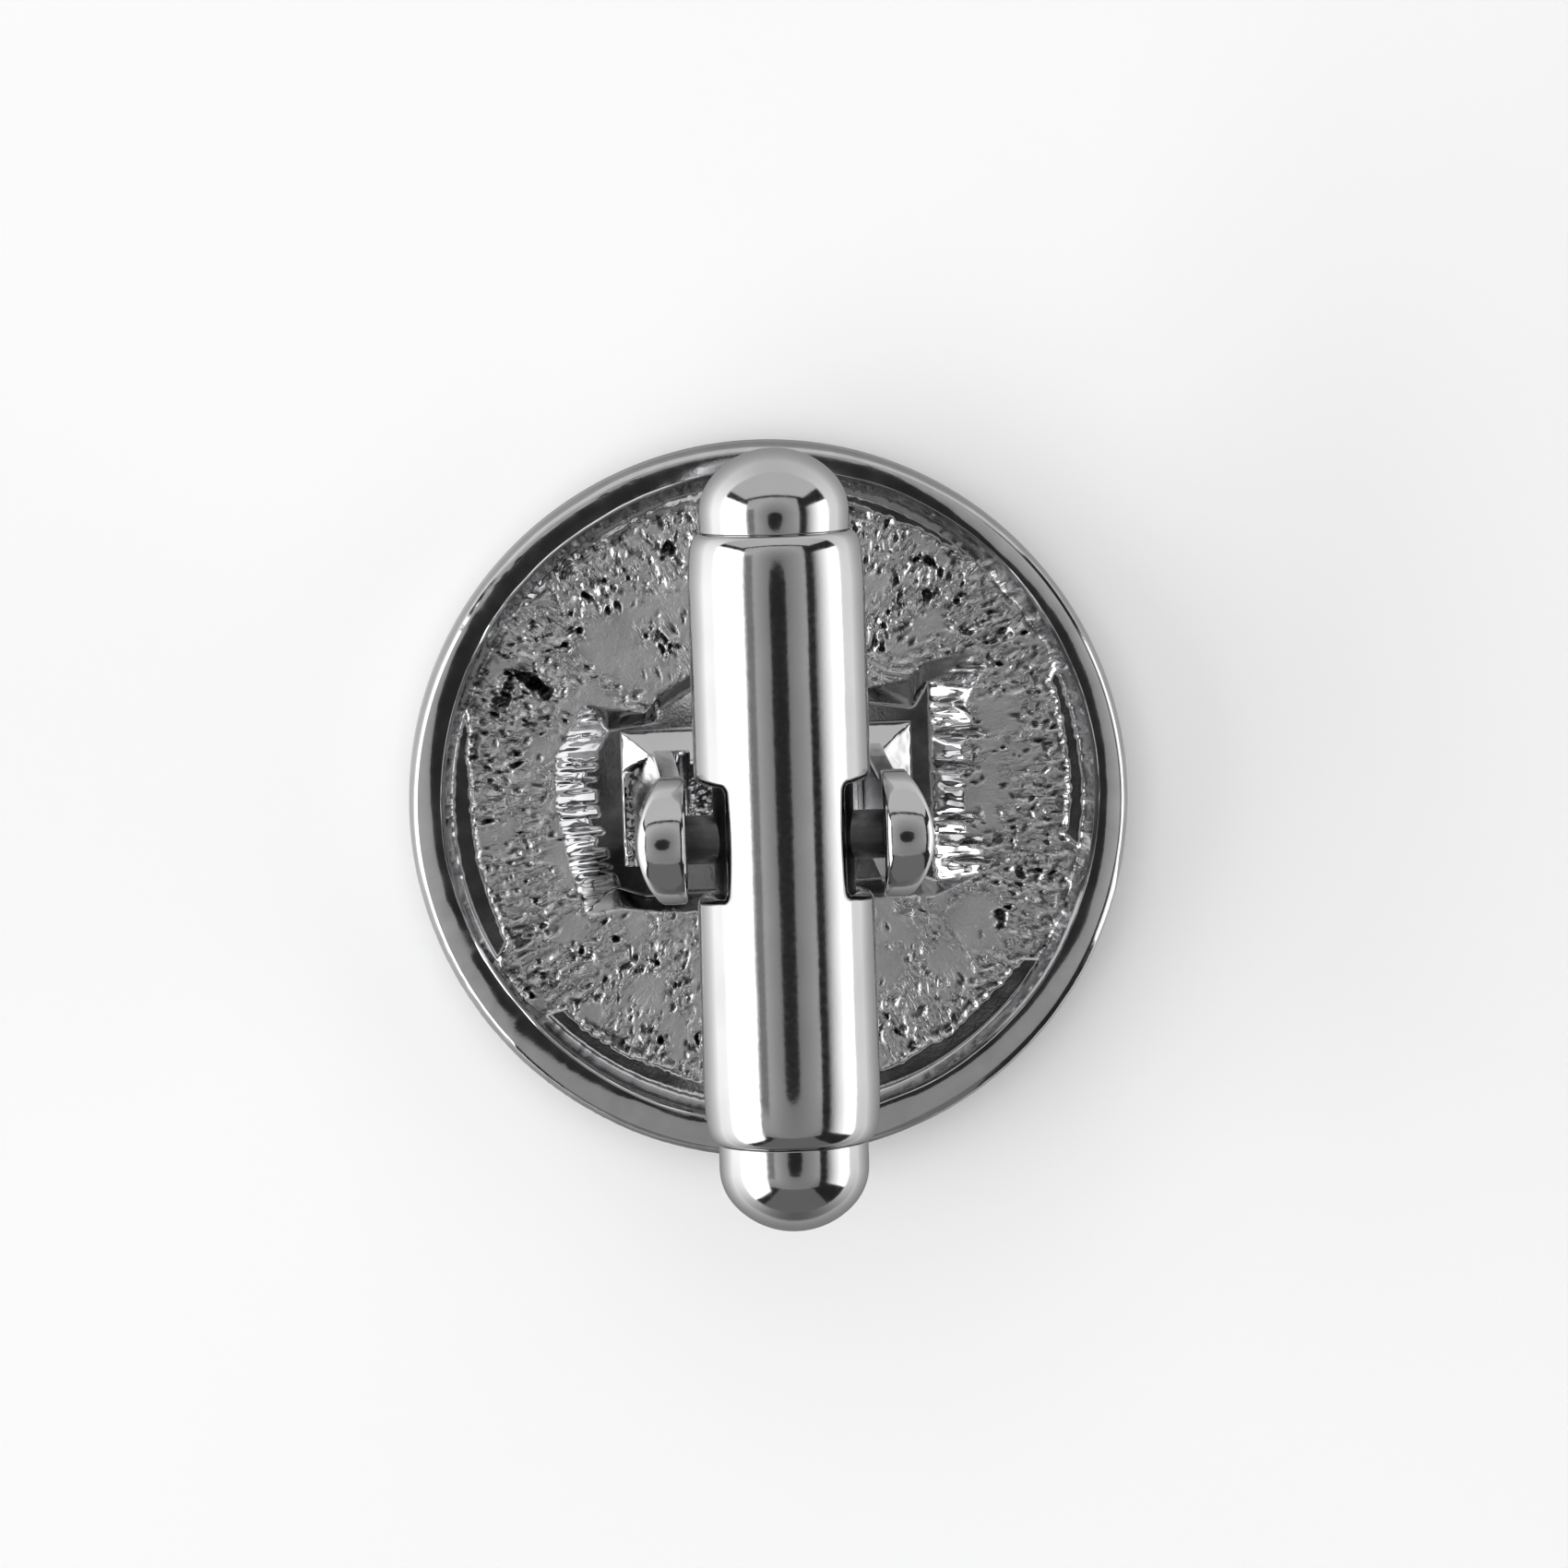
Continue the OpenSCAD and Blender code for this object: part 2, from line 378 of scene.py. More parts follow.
# Deep pits: x, y, radius and depth
DEEP_PITS = (
    (-6.12, 3.36, 0.23, 0.3), (-5.97, 3.22, 0.2, 0.3), (-5.83, 3.07, 0.2, 0.3), (-6.33, 3.52, 0.17, 0.28),
    (-6.66, 3.5, 0.11, 0.25), (-6.8, 3.28, 0.14, 0.25), (-6.88, 3.07, 0.13, 0.25), (-6.95, 2.86, 0.12, 0.25),
    (-5.24, 4.28, 0.15, 0.25), (-4.78, 4.52, 0.13, 0.25), (-2.42, 6.7, 0.17, 0.3),
    (-2.73, 4.0, 0.11, 0.22), (-3.77, 5.28, 0.1, 0.2), (-4.13, 5.1, 0.1, 0.2), (-4.59, 5.47, 0.1, 0.2),
    (-5.08, 5.17, 0.09, 0.2), (-4.1, 5.9, 0.09, 0.2), (4.41, 6.06, 0.15, 0.25), (4.75, 5.82, 0.12, 0.25),
    (4.03, 6.13, 0.1, 0.22), (4.26, 5.23, 0.15, 0.25), (5.08, 5.14, 0.1, 0.2), (3.55, 4.93, 0.08, 0.18),
    (3.77, 4.96, 0.09, 0.18), (3.29, 4.75, 0.1, 0.2), (3.24, 4.43, 0.1, 0.2), (3.07, 3.9, 0.11, 0.2),
    (5.01, 2.58, 0.18, 0.25), (4.7, 2.6, 0.13, 0.22), (6.31, 3.43, 0.1, 0.2), (-4.05, -3.58, 0.1, 0.2),
    (-6.13, -4.53, 0.08, 0.18), (-3.12, -6.31, 0.12, 0.22), (-3.12, -4.25, 0.1, 0.2), (-3.63, -4.4, 0.1, 0.2),
    (-6.4, -5.0, 0.08, 0.18), (6.69, -2.23, 0.12, 0.22), (6.08, -3.39, 0.13, 0.22), (6.34, -3.21, 0.11, 0.2),
    (5.95, -3.52, 0.1, 0.2),
)


def around(table, turn):
    """Values of a table over directions in degrees, for each direction in radians."""
    degrees, *values = zip(*table)
    return [np.interp(np.degrees(turn) % 360, degrees, value, period=360) for value in values]


def side_share(place, reach, mouth, floor):
    """How far a point is from the mouth, 0, to the bottom, 1, on one side of the pocket."""
    m = np.interp(place, *zip(*mouth))
    f = np.interp(place, *zip(*floor))
    return (reach - m) / (f - m)


def pocket(x, y):
    """Depth of the pocket below the cast floor, how much of the pocket is at each point, how much of it are
    its plain far and near flanks, and 1 to -1 from the side flanks' strips with painted highlight to those
    with painted shade.

    The rows of the left flank have two slopes. On the right, steep bars lie between flatter gaps."""
    full = FLOOR_H - POCKET_H
    warp = 0.5 * noise(x / 0.6, y / 0.6, 70)
    tooth = smooth(noise(x / ROW_SIZE[0], y / ROW_SIZE[1] + warp, 71), -0.15, 0.15)
    left = (ROW_SLOPES[0] - ROW_SLOPES[1] * tooth) * (x - np.interp(y, *zip(*LEFT_MOUTH)))
    bar = smooth(noise(x / BAR_SIZE[0], y / BAR_SIZE[1] + warp, 72) + 0.1, -0.15, 0.15)
    bar = np.maximum(bar, smooth(-y, 1.9, 2.05))
    slope = BAR_SLOPES[0] + (BAR_SLOPES[1] - BAR_SLOPES[0]) * smooth(abs(y), 1.2, 1.6)
    right = full - slope * (GAP_SHARE + (1 - GAP_SHARE) * bar) * (x - RIGHT_FOOT)
    right = np.minimum(right, 1.2 * (np.interp(y, *zip(*RIGHT_MOUTH)) - x))
    sides = np.minimum(left, right)
    far, near = side_share(x, y, FAR_MOUTH, FAR_FLOOR), side_share(x, y, NEAR_MOUTH, NEAR_FLOOR)
    ends = full * np.minimum(far, near)
    depth = np.clip(np.minimum(sides, ends), 0, full)
    inside = smooth(depth, 0.0, 0.06)
    flank = inside * (1 - smooth(depth, full - 0.05, full))
    plain = flank * smooth(sides - ends, 0, 0.05)
    # On the right, comb follows the bars and gaps; on the left it rises in the outer zone, which gets a
    # painted highlight
    comb = np.where(x > 0, 2 * bar - 1, 0.7 * smooth(-x, 4.5, 5.0))
    return depth, inside, plain, comb * flank * smooth(ends - sides, 0, 0.05)


def wall_rise(r, turn):
    """Rise of the recess's wall above its floor, with a rounded foot and steep up to the rim, and how much of
    each point is on its steep part."""
    top = around(CREST, turn)[0] - BEVEL_L
    foot, jagged = around(WALL_FOOT, turn)
    foot = np.minimum(foot + jagged * round_noise(turn, 360, 82), top - WALL_FOOT_L - 0.04)
    low = WALL_FOOT_L / 2
    near_foot = np.clip((r - foot) / WALL_FOOT_L, 0, 1)
    steep = np.clip((r - foot - WALL_FOOT_L) / (top - foot - WALL_FOOT_L), 0, 1)
    rise = low * near_foot**2 + (WALL_TOP - LEDGE_H - low) * steep
    return rise, smooth(r, foot + WALL_FOOT_L - 0.04, foot + WALL_FOOT_L + 0.03)


def on_spots(x, y, spots, core, edge):
    """1 on round spots and 0 away from them. Core and edge are shares of a spot's radius."""
    share = np.zeros_like(x)
    for px, py, pr in spots:
        share = np.maximum(share, 1 - smooth(np.hypot(x - px, y - py), core * pr, edge * pr))
    return share


def busy_share(x, y, r):
    """How busy the cast floor's relief is: more towards the rim and in the clusters, calm on the patches."""
    crowd = rough_noise(x / 0.9, y / 0.9, 24, 2) + np.interp(r, (3.5, 6.0, 7.5), (-0.3, 0.1, 0.5))
    busy = np.maximum(smooth(crowd, -0.35, 0.1), on_spots(x, y, CLUSTERS, 0.8, 1.4))
    return busy * (1 - on_spots(x, y, PATCHES, 0.6, 1.1))


def cast_relief(x, y, r, turn):
    """Relief of the rough cast floor, painted shade in its pits and specks, and how busy it is at each point.
    """
    busy = busy_share(x, y, r)
    wx, wy = np.array([x, y]) + drift(x, y, 0.4, 0.12, 22)
    worms = 0.5 - abs(noise(wx / WORM_SIZE, wy / WORM_SIZE, 31))
    lumps = noise(wx / LUMP_SIZE, wy / LUMP_SIZE, 33)
    grooves = round_noise(turn, GROOVE_COUNT, 41, r / GROOVE_L)
    outer = smooth(r + 0.8 * noise(x / 1.1, y / 1.1, 43), 5.4, 7.3)
    relief = SWELL_H * rough_noise(x / SWELL_SIZE, y / SWELL_SIZE, 21, 2) + 0.006 * grooves
    relief = relief + busy * (WORM_H * worms + LUMP_H * lumps + GROOVE_H * grooves * outer)

    # Flow lines at the pocket's far side
    dx, dy = (x - FLOW_SPOT[0]) / FLOW_SPREAD[0], (y - FLOW_SPOT[1]) / FLOW_SPREAD[1]
    flow = np.exp(-(dx**2 + dy**2))
    wavy_y = y + 0.3 * np.sin(x * 2.2) + 0.15 * noise(x / 0.5, y / 0.5, 47)
    relief = relief + FLOW_H * flow * np.sin(2 * math.pi * wavy_y / FLOW_STEP)

    # Specks and pits, the deep ones ragged, each darkened in colour as painted shade
    spots = smooth(noise(wx / 0.16, wy / 0.16, 35), 0.6, 0.8) * busy
    relief = relief - 0.07 * spots
    hollow_shade = 0.8 * spots
    for pit in pits(PIT_COUNT):
        stamp(relief, hollow_shade, wx, wy, pit)
    wx, wy = np.array([wx, wy]) + drift(x, y, 0.13, 0.07, 36)
    for px, py, pr, depth in DEEP_PITS:
        stamp(relief, hollow_shade, wx, wy, (px, py, px * 7, pr, pr * 0.8, depth))
    return relief, hollow_shade, np.maximum(busy, flow)


def stamp(height, hollow_shade, x, y, pit):
    """Sinks one oval pit into the heights, with a faint raised lip round it, and paints shade into its
    hollow.
    """
    px, py, turn, length, width, depth = pit
    near = np.nonzero((abs(x - px) < 3 * length) & (abs(y - py) < 3 * length))[0]
    dx, dy = x[near] - px, y[near] - py
    along = (dx * math.cos(turn) + dy * math.sin(turn)) / length
    across = (dy * math.cos(turn) - dx * math.sin(turn)) / width
    d = along**2 + across**2
    bowl = np.exp(-(d**1.5))
    height[near] += depth * (0.3 * np.exp(-((np.sqrt(d) - 1.35) ** 2) * 6) - bowl)
    hollow_shade[near] = np.maximum(hollow_shade[near], bowl * min(depth / 0.06, 1))


def is_on(x, y, spots):
    """Whether a point is on one of the round spots."""
    return any((x - px) ** 2 + (y - py) ** 2 < pr**2 for px, py, pr in spots)


def pits(count):
    """Small oval pits of the casting, most of them pointing to the centre, denser near the rim."""
    draw = np.random.default_rng(11)
    found = []
    while len(found) < count:
        r, a = PIT_REACH * math.sqrt(draw.random()), 2 * math.pi * draw.random()
        x, y = r * math.cos(a), r * math.sin(a)
        turn = a + draw.normal(0, 0.4)
        length, width = draw.uniform(0.07, 0.17), draw.uniform(0.04, 0.07)
        depth = draw.uniform(0.035, 0.1)
        keep = draw.random()
        crowd = is_on(x, y, CLUSTERS)
        chance = 1.0 if crowd else 0.3 + 0.4 * float(smooth(r, 5.5, 7.2))
        if keep < (0.06 if is_on(x, y, PATCHES) else chance):
            found.append((x, y, turn, length, width, depth * (1.3 if crowd else 1.0)))
    return found


def recess(x, y):
    """Height of the button's back inside its rim, how rough its finish is, below 0 a painted highlight, and
    how much painted shade darkens its hollows.
    """
    r, turn = np.hypot(x, y), np.arctan2(y, x)
    edge = around(LEDGE, turn)[0] + 0.04 * round_noise(turn, 60, 5) + 0.035 * round_noise(turn, 300, 6)
    rough = 1 - smooth(r, edge - 0.05, edge + 0.05)
    relief, hollow_shade, busy = cast_relief(x, y, r, turn)
    # A thin groove round the cast floor just inside the ledge's edge, darkened in colour as painted shade
    moat = np.exp(-(((r - edge + 0.13) / 0.06) ** 2)) * smooth(round_noise(turn, 180, 7, r / 0.2), -0.1, 0.4)
    relief = relief - 0.07 * moat
    hollow_shade = np.maximum(hollow_shade, 0.9 * moat)

    depth, inside, plain, comb = pocket(x, y)
    ground = LEDGE_H * (1 - rough) + FLOOR_H * rough + 0.006 * noise(x / 1.3, y / 1.3, 51) * (1 - rough)
    height = ground + relief * rough * (1 - inside) - depth
    combed = inside * (1 - plain) * (1 - smooth(depth, 0.5, 0.6))
    height = height + 0.012 * combed * noise(x / 0.35, y / 0.07, 62)
    height = height + 0.03 * abs(comb) * noise(x / 0.3, y / 0.14, 63)
    rise, wall = wall_rise(r, turn)
    finish_and_highlight = rough * (1 - 0.6 * busy) * (1 - inside) + inside * (0.12 + 0.16 * combed) + 0.08 * (1 - rough)
    # A finish below 0 is a painted highlight, on the side flanks' bright strips and the left flank's outer
    # zone
    finish_and_highlight = finish_and_highlight - np.maximum(comb, 0)
    # Painted shade in the pocket: round the fork's foot, on its plain far and near flanks, and on its side
    # flanks' dark strips
    dark = np.maximum(pocket_painted_shade(x, y) * inside, np.maximum(0.45 * plain, -0.55 * comb))
    hollow_shade = np.maximum(hollow_shade * rough * (1 - inside), dark)
    # The wall's steep part is polished, and its colour half darkened as painted shade
    return height + rise, finish_and_highlight * (1 - wall), np.maximum(hollow_shade, 0.5 * wall)


def pocket_painted_shade(x, y):
    """Painted shade in the pocket round the near left side of the fork's foot."""
    from_fork = np.maximum(abs(x) - FOOT_HALF[0], PIN_Y - y - FOOT_HALF[1])
    near_left = smooth(PIN_Y - y, 1.0, 1.5) * smooth(-x, 1.0, 1.4)
    return 0.8 * (1 - smooth(from_fork, 0.7, 1.3)) * near_left


# Button

# Facet along the rim's outer edge: direction in degrees, and shares of its width and steepness
EDGE_FACET = (
    (60, 0.3, 1.0), (85, 0.0, 0.0), (285, 0.0, 0.0), (296, 1.0, 1.0), (343, 1.0, 1.0), (349, 0.35, 1.0),
)

# Width of that facet, and the slope there without it and what it adds
FACET_W = 0.17
EDGE_SLOPES = (0.25, 0.17)

# Mean slope of the crest on both sides of its top, and its lean along X and Y
CREST_SLOPE = 0.0815
CREST_LEAN = (0.021, -0.029)

# Coarse grain of the rim's outer edge: direction in degrees and share
COARSE_RIM = ((30, 0.1), (60, 0.5), (80, 0.1), (185, 0.05), (205, 1.0), (255, 1.0), (275, 0.3), (350, 0.1))


def falling(height, slopes):
    """Rings at given distances from the centre, as radius and height, from the surface's slope at each."""
    r, slope = slopes[0]
    rings = []
    for next_r, next_slope in slopes:
        height = height - (slope + next_slope) / 2 * (next_r - r)
        r, slope = next_r, next_slope
        rings.append((r, height))
    return rings


def bevel_rings(start, top, bead):
    """Rings up the steep inner bevel of the rim, with the thin bead just below the crest's start."""
    rings = []
    for d in (BEVEL_L, 0.1, 0.085, 0.07, 0.06, 0.05, 0.04, 0.03, 0.018, 0.006):
        under = np.maximum(d - 0.055 * bead, 0)
        fall = BEVEL_SLOPE * (np.sqrt(under**2 + 0.012**2) - 0.012)
        rise = BEAD_H * bead * math.exp(-(((d - 0.035) / 0.02) ** 2))
        rings.append((start - d, top - fall + rise))
    return rings


def crest_rings(turn, start, end, top, coarse):
    """Rings over the nearly level crest and the outer part, which steepens to a facet in some directions,
    and the slope at the last of them."""
    facet, steep = around(EDGE_FACET, turn)
    steep = EDGE_SLOPES[0] + EDGE_SLOPES[1] * steep
    lean = CREST_LEAN[0] * np.cos(turn) + CREST_LEAN[1] * np.sin(turn)
    inward, outward = CREST_SLOPE + lean, CREST_SLOPE - lean
    rings = falling(top, [
        (start, -0.8 * inward),
        (start + 0.01, -0.8 * inward),
        (start + 0.5 * (end - start), 0.4 * (outward - inward)),
        (end - 0.01, 0.8 * outward),
        (end + 0.02, outward + 0.03),
        (end + 0.3 * (TOP_EDGE_R - end), outward + 0.05),
        (TOP_EDGE_R - 0.03 * facet, EDGE_SLOPES[0]),
        (TOP_EDGE_R + 0.02 * facet + 0.002, steep),
        (TOP_EDGE_R + FACET_W * facet + 0.004, steep),
    ])
    r, z = rings[5]
    rings[5] = (r, z + 0.008 * coarse * round_noise(turn, 240, 85, octaves=2))
    return rings, steep


def rim_rings(turn):
    """Rings from the top of the recess's wall over the rim to its side, as radius and height."""
    wobble = round_noise(turn, 48, 81)
    ragged = round_noise(turn, 96, 87, octaves=3)
    coarse, = around(COARSE_RIM, turn)
    bead = np.clip(around(BEAD, turn)[0] * (1 + 0.4 * ragged), 0, 1)
    start, end = around(CREST, turn)
    start = start + 0.012 * wobble + 0.006 * ragged
    end = np.minimum(end + (0.012 + 0.035 * coarse) * ragged, TOP_EDGE_R - 0.03)
    top = RIM_H - 0.003 - BEAD_H * bead
    crest, steep = crest_rings(turn, start, end, top, coarse)
    side = side_rings(turn, *crest[-1], np.arctan(steep), wobble, coarse)
    return bevel_rings(start, top, bead) + crest + side


def side_rings(turn, start, top, first, wobble, coarse):
    """Rings from the rim's outer edge, with its first slope, down its side and round to the flat front."""
    low = SIDE_TOP + 0.06 * wobble
    rings = []
    for k, (across, down) in enumerate(bend(first, 8), 1):
        grain = round_noise(turn, 240, 86, k * 0.7, 2)
        inset = 0.02 * coarse * abs(grain) + 0.002 * wobble**2
        rings.append((start + (BUTTON_R - start) * across - inset, top + (low - top) * down))
    rings.append((BUTTON_R, SIDE_MIDDLE))
    for k in range(7):
        a = math.radians(90 * k / 6)
        rings.append((BUTTON_R - FRONT_ROUND * (1 - math.cos(a)), FRONT_ROUND * (1 - math.sin(a))))
    return rings


def recess_grid():
    """Grid of points over the recess. Its border is a circle, and its rows run square through the middle."""
    line = np.linspace(-1, 1, 2 * GRID_COUNT + 1)
    a, b = np.meshgrid(line, line, indexing="ij")
    wide = abs(a) >= abs(b)
    with np.errstate(divide="ignore", invalid="ignore"):
        turn = np.where(wide, math.pi / 4 * b / a, math.pi / 2 - math.pi / 4 * a / b)
    radius = np.where(wide, a, b) * GRID_R
    turn = np.where(radius == 0, 0, turn)
    x, y = radius * np.cos(turn), radius * np.sin(turn)
    height = recess(x.ravel(), y.ravel())[0]
    return at(x, y, height.reshape(x.shape))


def make_casting():
    """The cast button, with half as many points round its rim as round its recess."""
    shell = Shell()
    points = recess_grid()
    shell.grid(points)
    loop = border(points)
    turn = np.arctan2(loop[::2, 1], loop[::2, 0])
    rim = [at(r * np.cos(turn), r * np.sin(turn), z) for r, z in rim_rings(turn)]
    shell.halve(loop, rim[0])
    shell.grid(np.array(rim), wrap=True)
    shell.cap(rim[-1])
    obj = shell.build("button_casting", sharp=80)
    set_finish_and_shade(obj)
    return obj


def finish_and_shade_at(x, y, z, up):
    """Roughness and painted shade shares of points of the casting. A roughness below 0 is a painted
    highlight.

    Steep places of the rough floor, which shine where the casting was tumbled, are smoother."""
    _, rough, hollow_shade = recess(x, y)
    r, turn = np.hypot(x, y), np.arctan2(y, x)
    start = around(CREST, turn)[0]
    inside = (r <= GRID_R + 0.01) * (z > 0.4)
    wall = (r > GRID_R + 0.01) * (r < start - 0.02) * (z > 0.95)
    bead = around(BEAD, turn)[0] * smooth(-abs(r - start + 0.035), -0.05, -0.03) * (z > 0.95)
    shine = smooth(np.degrees(np.arccos(np.clip(up, -1, 1))), 14, 30)
    # The bead gets a painted highlight through a roughness below 0, and the recess's wall half strength
    # painted shade
    return rough * (1 - 0.4 * shine) * inside - bead, (hollow_shade * inside + 0.5 * wall) * (1 - bead)


def set_finish_and_shade(obj):
    """Stores those shares, with their painted highlight and painted shade, on the casting's points, for its
    material.
    """
    count = len(obj.data.vertices)
    co, normal = np.zeros(count * 3), np.zeros(count * 3)
    obj.data.vertices.foreach_get("co", co)
    obj.data.vertex_normals.foreach_get("vector", normal)
    x, y, z = (co.reshape(-1, 3) / MM).T
    for name, values in zip(("finish_and_highlight", "hollow_shade"), finish_and_shade_at(x, y, z, normal.reshape(-1, 3)[:, 2])):
        attribute = obj.data.attributes.new(name, "FLOAT", "POINT")
        attribute.data.foreach_set("value", values.astype(np.float32))


# Fork

# Arc that joins a leg's side to its eye's outline, its lower end, and the leg's lower end inside the foot
NECK_R = 1.0
CHORD_Z = PIN_Z - math.sqrt((EYE_R + NECK_R) ** 2 - (LEG_HALF + NECK_R) ** 2)
LEG_LOW = 1.25

# Grid steps across a leg and round an eye, and shares of the way from the bore to the eye's outline
CHORD_COUNT = 20
ARC_COUNT = 72
RING_SHARES = (0.0, 0.06, 0.2, 0.36, 0.52, 0.66, 0.78, 0.88, 0.95, 1.0)


def dome_x(y, z):
    """X of the outer side of a leg or eye over a point of its outline plane. It is an arc across the leg."""
    up = smooth(z, CHORD_Z - 0.8, PIN_Z - 0.4)
    edge = LEG_EDGE + (EYE_EDGE - LEG_EDGE) * up
    half = LEG_HALF + (EYE_R - LEG_HALF) * up
    dome = (half**2 + DOME_RISE**2) / (2 * DOME_RISE)
    return FORK_IN + edge + DOME_RISE - dome + np.sqrt(dome**2 - np.minimum(abs(y), half) ** 2)


def inner_x(z):
    """X of the inner side, which curves inward at its bottom to meet the foot."""
    t = np.clip((FOOT_TOP + FORK_FILLET - z) / FORK_FILLET, 0, 0.9945)
    return FORK_IN - FORK_FILLET * (1 - np.sqrt(1 - t**2))


def edge_sizes(out, side):
    """Inner bevel, outer bevel and crown of the edge, all larger where it faces up."""
    up = np.clip(out[:, 1], 0, 1)
    inner = INNER_BEVEL + (RIGHT_EYE_BEVEL if side > 0 else LEFT_EYE_BEVEL) * up
    return inner, OUTER_BEVEL + OUTER_EYE_BEVEL * up, EYE_CROWN * up


def edge_profile(outline, out, outer, inner, side):
    """Points across the edge from the inner to the outer side: outline points, outward directions, and X."""
    b_in, b_out, crown = edge_sizes(out, side)
    half = (outer - b_out - inner - b_in) / 2
    middle = inner + b_in + half
    lean = np.arctan(2 * crown / half)
    bevel = []
    for k in range(5):
        a = (math.pi / 2 - lean) * k / 4
        bevel.append((1 - np.sin(a) / np.cos(lean), (1 - np.cos(a)) / (1 - np.sin(lean))))
    rows = [(crown + b_in * inset, inner + b_in * x) for inset, x in bevel]
    rows += [(crown * t * t, middle + half * t) for t in (-0.6, -0.2, 0.2, 0.6)]
    rows += [(crown + b_out * inset, outer - b_out * x) for inset, x in reversed(bevel)]
    grid = []
    for inset, x in rows:
        yz = outline - out * inset[:, None]
        grid.append(at(x, yz[:, 0], yz[:, 1]))
    return np.array(grid)


def eye_arc():
    """Free outline from the leg's +Y side round the eye to the leg's -Y side, with outward directions."""
    reach = EYE_R + NECK_R
    start = math.asin(math.sqrt(reach**2 - (LEG_HALF + NECK_R) ** 2) / reach)
    turns = np.linspace(-start, math.pi + start, ARC_COUNT + 1)
    out = at(np.cos(turns), np.sin(turns))
    points = out * EYE_R + [0, PIN_Z]
    turns = math.pi - np.linspace(0, start, 6)[:-1]
    neck_out = -at(np.cos(turns), np.sin(turns))
    neck = [LEG_HALF + NECK_R, PIN_Z - reach * math.sin(start)] - NECK_R * neck_out
    mirror = [-1, 1]
    points = np.vstack([neck, points, (neck * mirror)[::-1]])
    return points, np.vstack([neck_out, out, (neck_out * mirror)[::-1]])


def make_leg(shell, side):
    """One leg with its domed eye, closed all round, on the +X side (1) or the -X side (-1)."""
    fillet = FOOT_TOP + FORK_FILLET * (1 - np.sin(np.radians(np.linspace(84, 0, 13))))
    z_rows = np.concatenate([[LEG_LOW, 1.5, 1.66], fillet, np.linspace(2.4, CHORD_Z, 34)])
    line = np.linspace(-1, 1, CHORD_COUNT + 1)
    y_inner, y_outer = line * (LEG_HALF - INNER_BEVEL), line * (LEG_HALF - OUTER_BEVEL)
    y, z = np.meshgrid(y_inner, z_rows)
    grids = [at(inner_x(z), y, z)]
    y, z = np.meshgrid(y_outer, z_rows)
    grids.append(at(dome_x(y, z), y, z))

    # Both edges of the leg
    for sign in (1, -1):
        outline, out = at(sign * LEG_HALF, z_rows), at(sign, 0 * z_rows)
        grids.append(edge_profile(outline, out, dome_x(y_outer[-1], z_rows), inner_x(z_rows), side))

    # Bottom, inside the foot
    plus_edge, minus_edge = grids[2][:, 0], grids[3][:, 0]
    loop = np.vstack([grids[0][0], plus_edge[1:], grids[1][0][::-1][1:], minus_edge[::-1][1:-1]])
    shell.cap(loop * [side, 1, 1])
    for grid in grids:
        shell.grid(grid * [side, 1, 1])
    make_eye(shell, side, y_inner, y_outer)


def make_eye(shell, side, y_inner, y_outer):
    """Eye with rings from its bore to its outline, whose lower stretch is the leg's top row, and its edge."""
    outline, outs = eye_arc()
    b_in, b_out, crown = edge_sizes(outs, side)
    inner_rim = outline - outs * (crown + b_in)[:, None]
    outer_rim = outline - outs * (crown + b_out)[:, None]
    inner_ring, outer_ring = [
        np.vstack([rim, at(y_line, CHORD_Z)[1:-1]])
        for rim, y_line in ((inner_rim, y_inner), (outer_rim, y_outer))
    ]
    way = inner_ring - [0, PIN_Z]
    bore = [0, PIN_Z] + way / np.linalg.norm(way, axis=1)[:, None] * (PIN_R + SEAT_PLAY)
    inner = np.array([bore + (inner_ring - bore) * s for s in RING_SHARES])
    outer = np.array([bore + (outer_ring - bore) * s for s in RING_SHARES])
    inner = np.concatenate([FORK_IN + 0 * inner[..., :1], inner], -1)
    outer = np.concatenate([dome_x(outer[..., 0], outer[..., 1])[..., None], outer], -1)
    rim_x = dome_x(outer_rim[:, 0], outer_rim[:, 1])
    edge = edge_profile(outline, outs, rim_x, FORK_IN + 0 * rim_x, side)
    shell.grid(edge * [side, 1, 1])
    for grid in (inner, outer, np.array([inner[0], outer[0]])):
        shell.grid(grid * [side, 1, 1], wrap=True)


def foot_line(half):
    """Places of the foot's grid lines along one axis, closer together at its edges."""
    inner = half - FOOT_ROUND
    count = 2 * math.ceil(inner / 0.05)
    edges = half - np.array([0.0, 0.15, 0.45]) * FOOT_ROUND
    return np.concatenate([-edges, np.linspace(-inner, inner, count + 1), edges[::-1]])


def foot_relief(x, y, z):
    """Height of the foot's surface with its rough rim, the worn facet on its -X side, and the rough cut that
    shows through the bar's left window."""
    across, along = FOOT_HALF[0] - abs(x), FOOT_HALF[1] - abs(y)
    coarse = (1 - smooth(across, 0.35, 0.7)) * smooth(across, 0, 0.1) * smooth(along, 0, 0.1)
    z = z + 0.016 * coarse * rough_noise(x / 0.2, y / 0.2, 91, 2)
    worn = (x < 0) * smooth(across, 0.02, 0.1) * (1 - smooth(across, 0.7, 0.95))
    worn = worn * (1 - smooth(y - 0.5 * across, 0.6, 0.8))
    z = z + worn * (FOOT_SIDE - 0.03 - z + 0.02 * rough_noise(x / 0.11, y / 0.11, 92, 2))
    cut = smooth(x, -2.4, -2.2) * smooth(-x, 1.2, 1.4) * smooth(y, -1.0, -0.8) * smooth(-y, -0.7, -0.5)
    return z + 0.02 * cut * rough_noise(x / 0.12, y / 0.12, 93, 2)


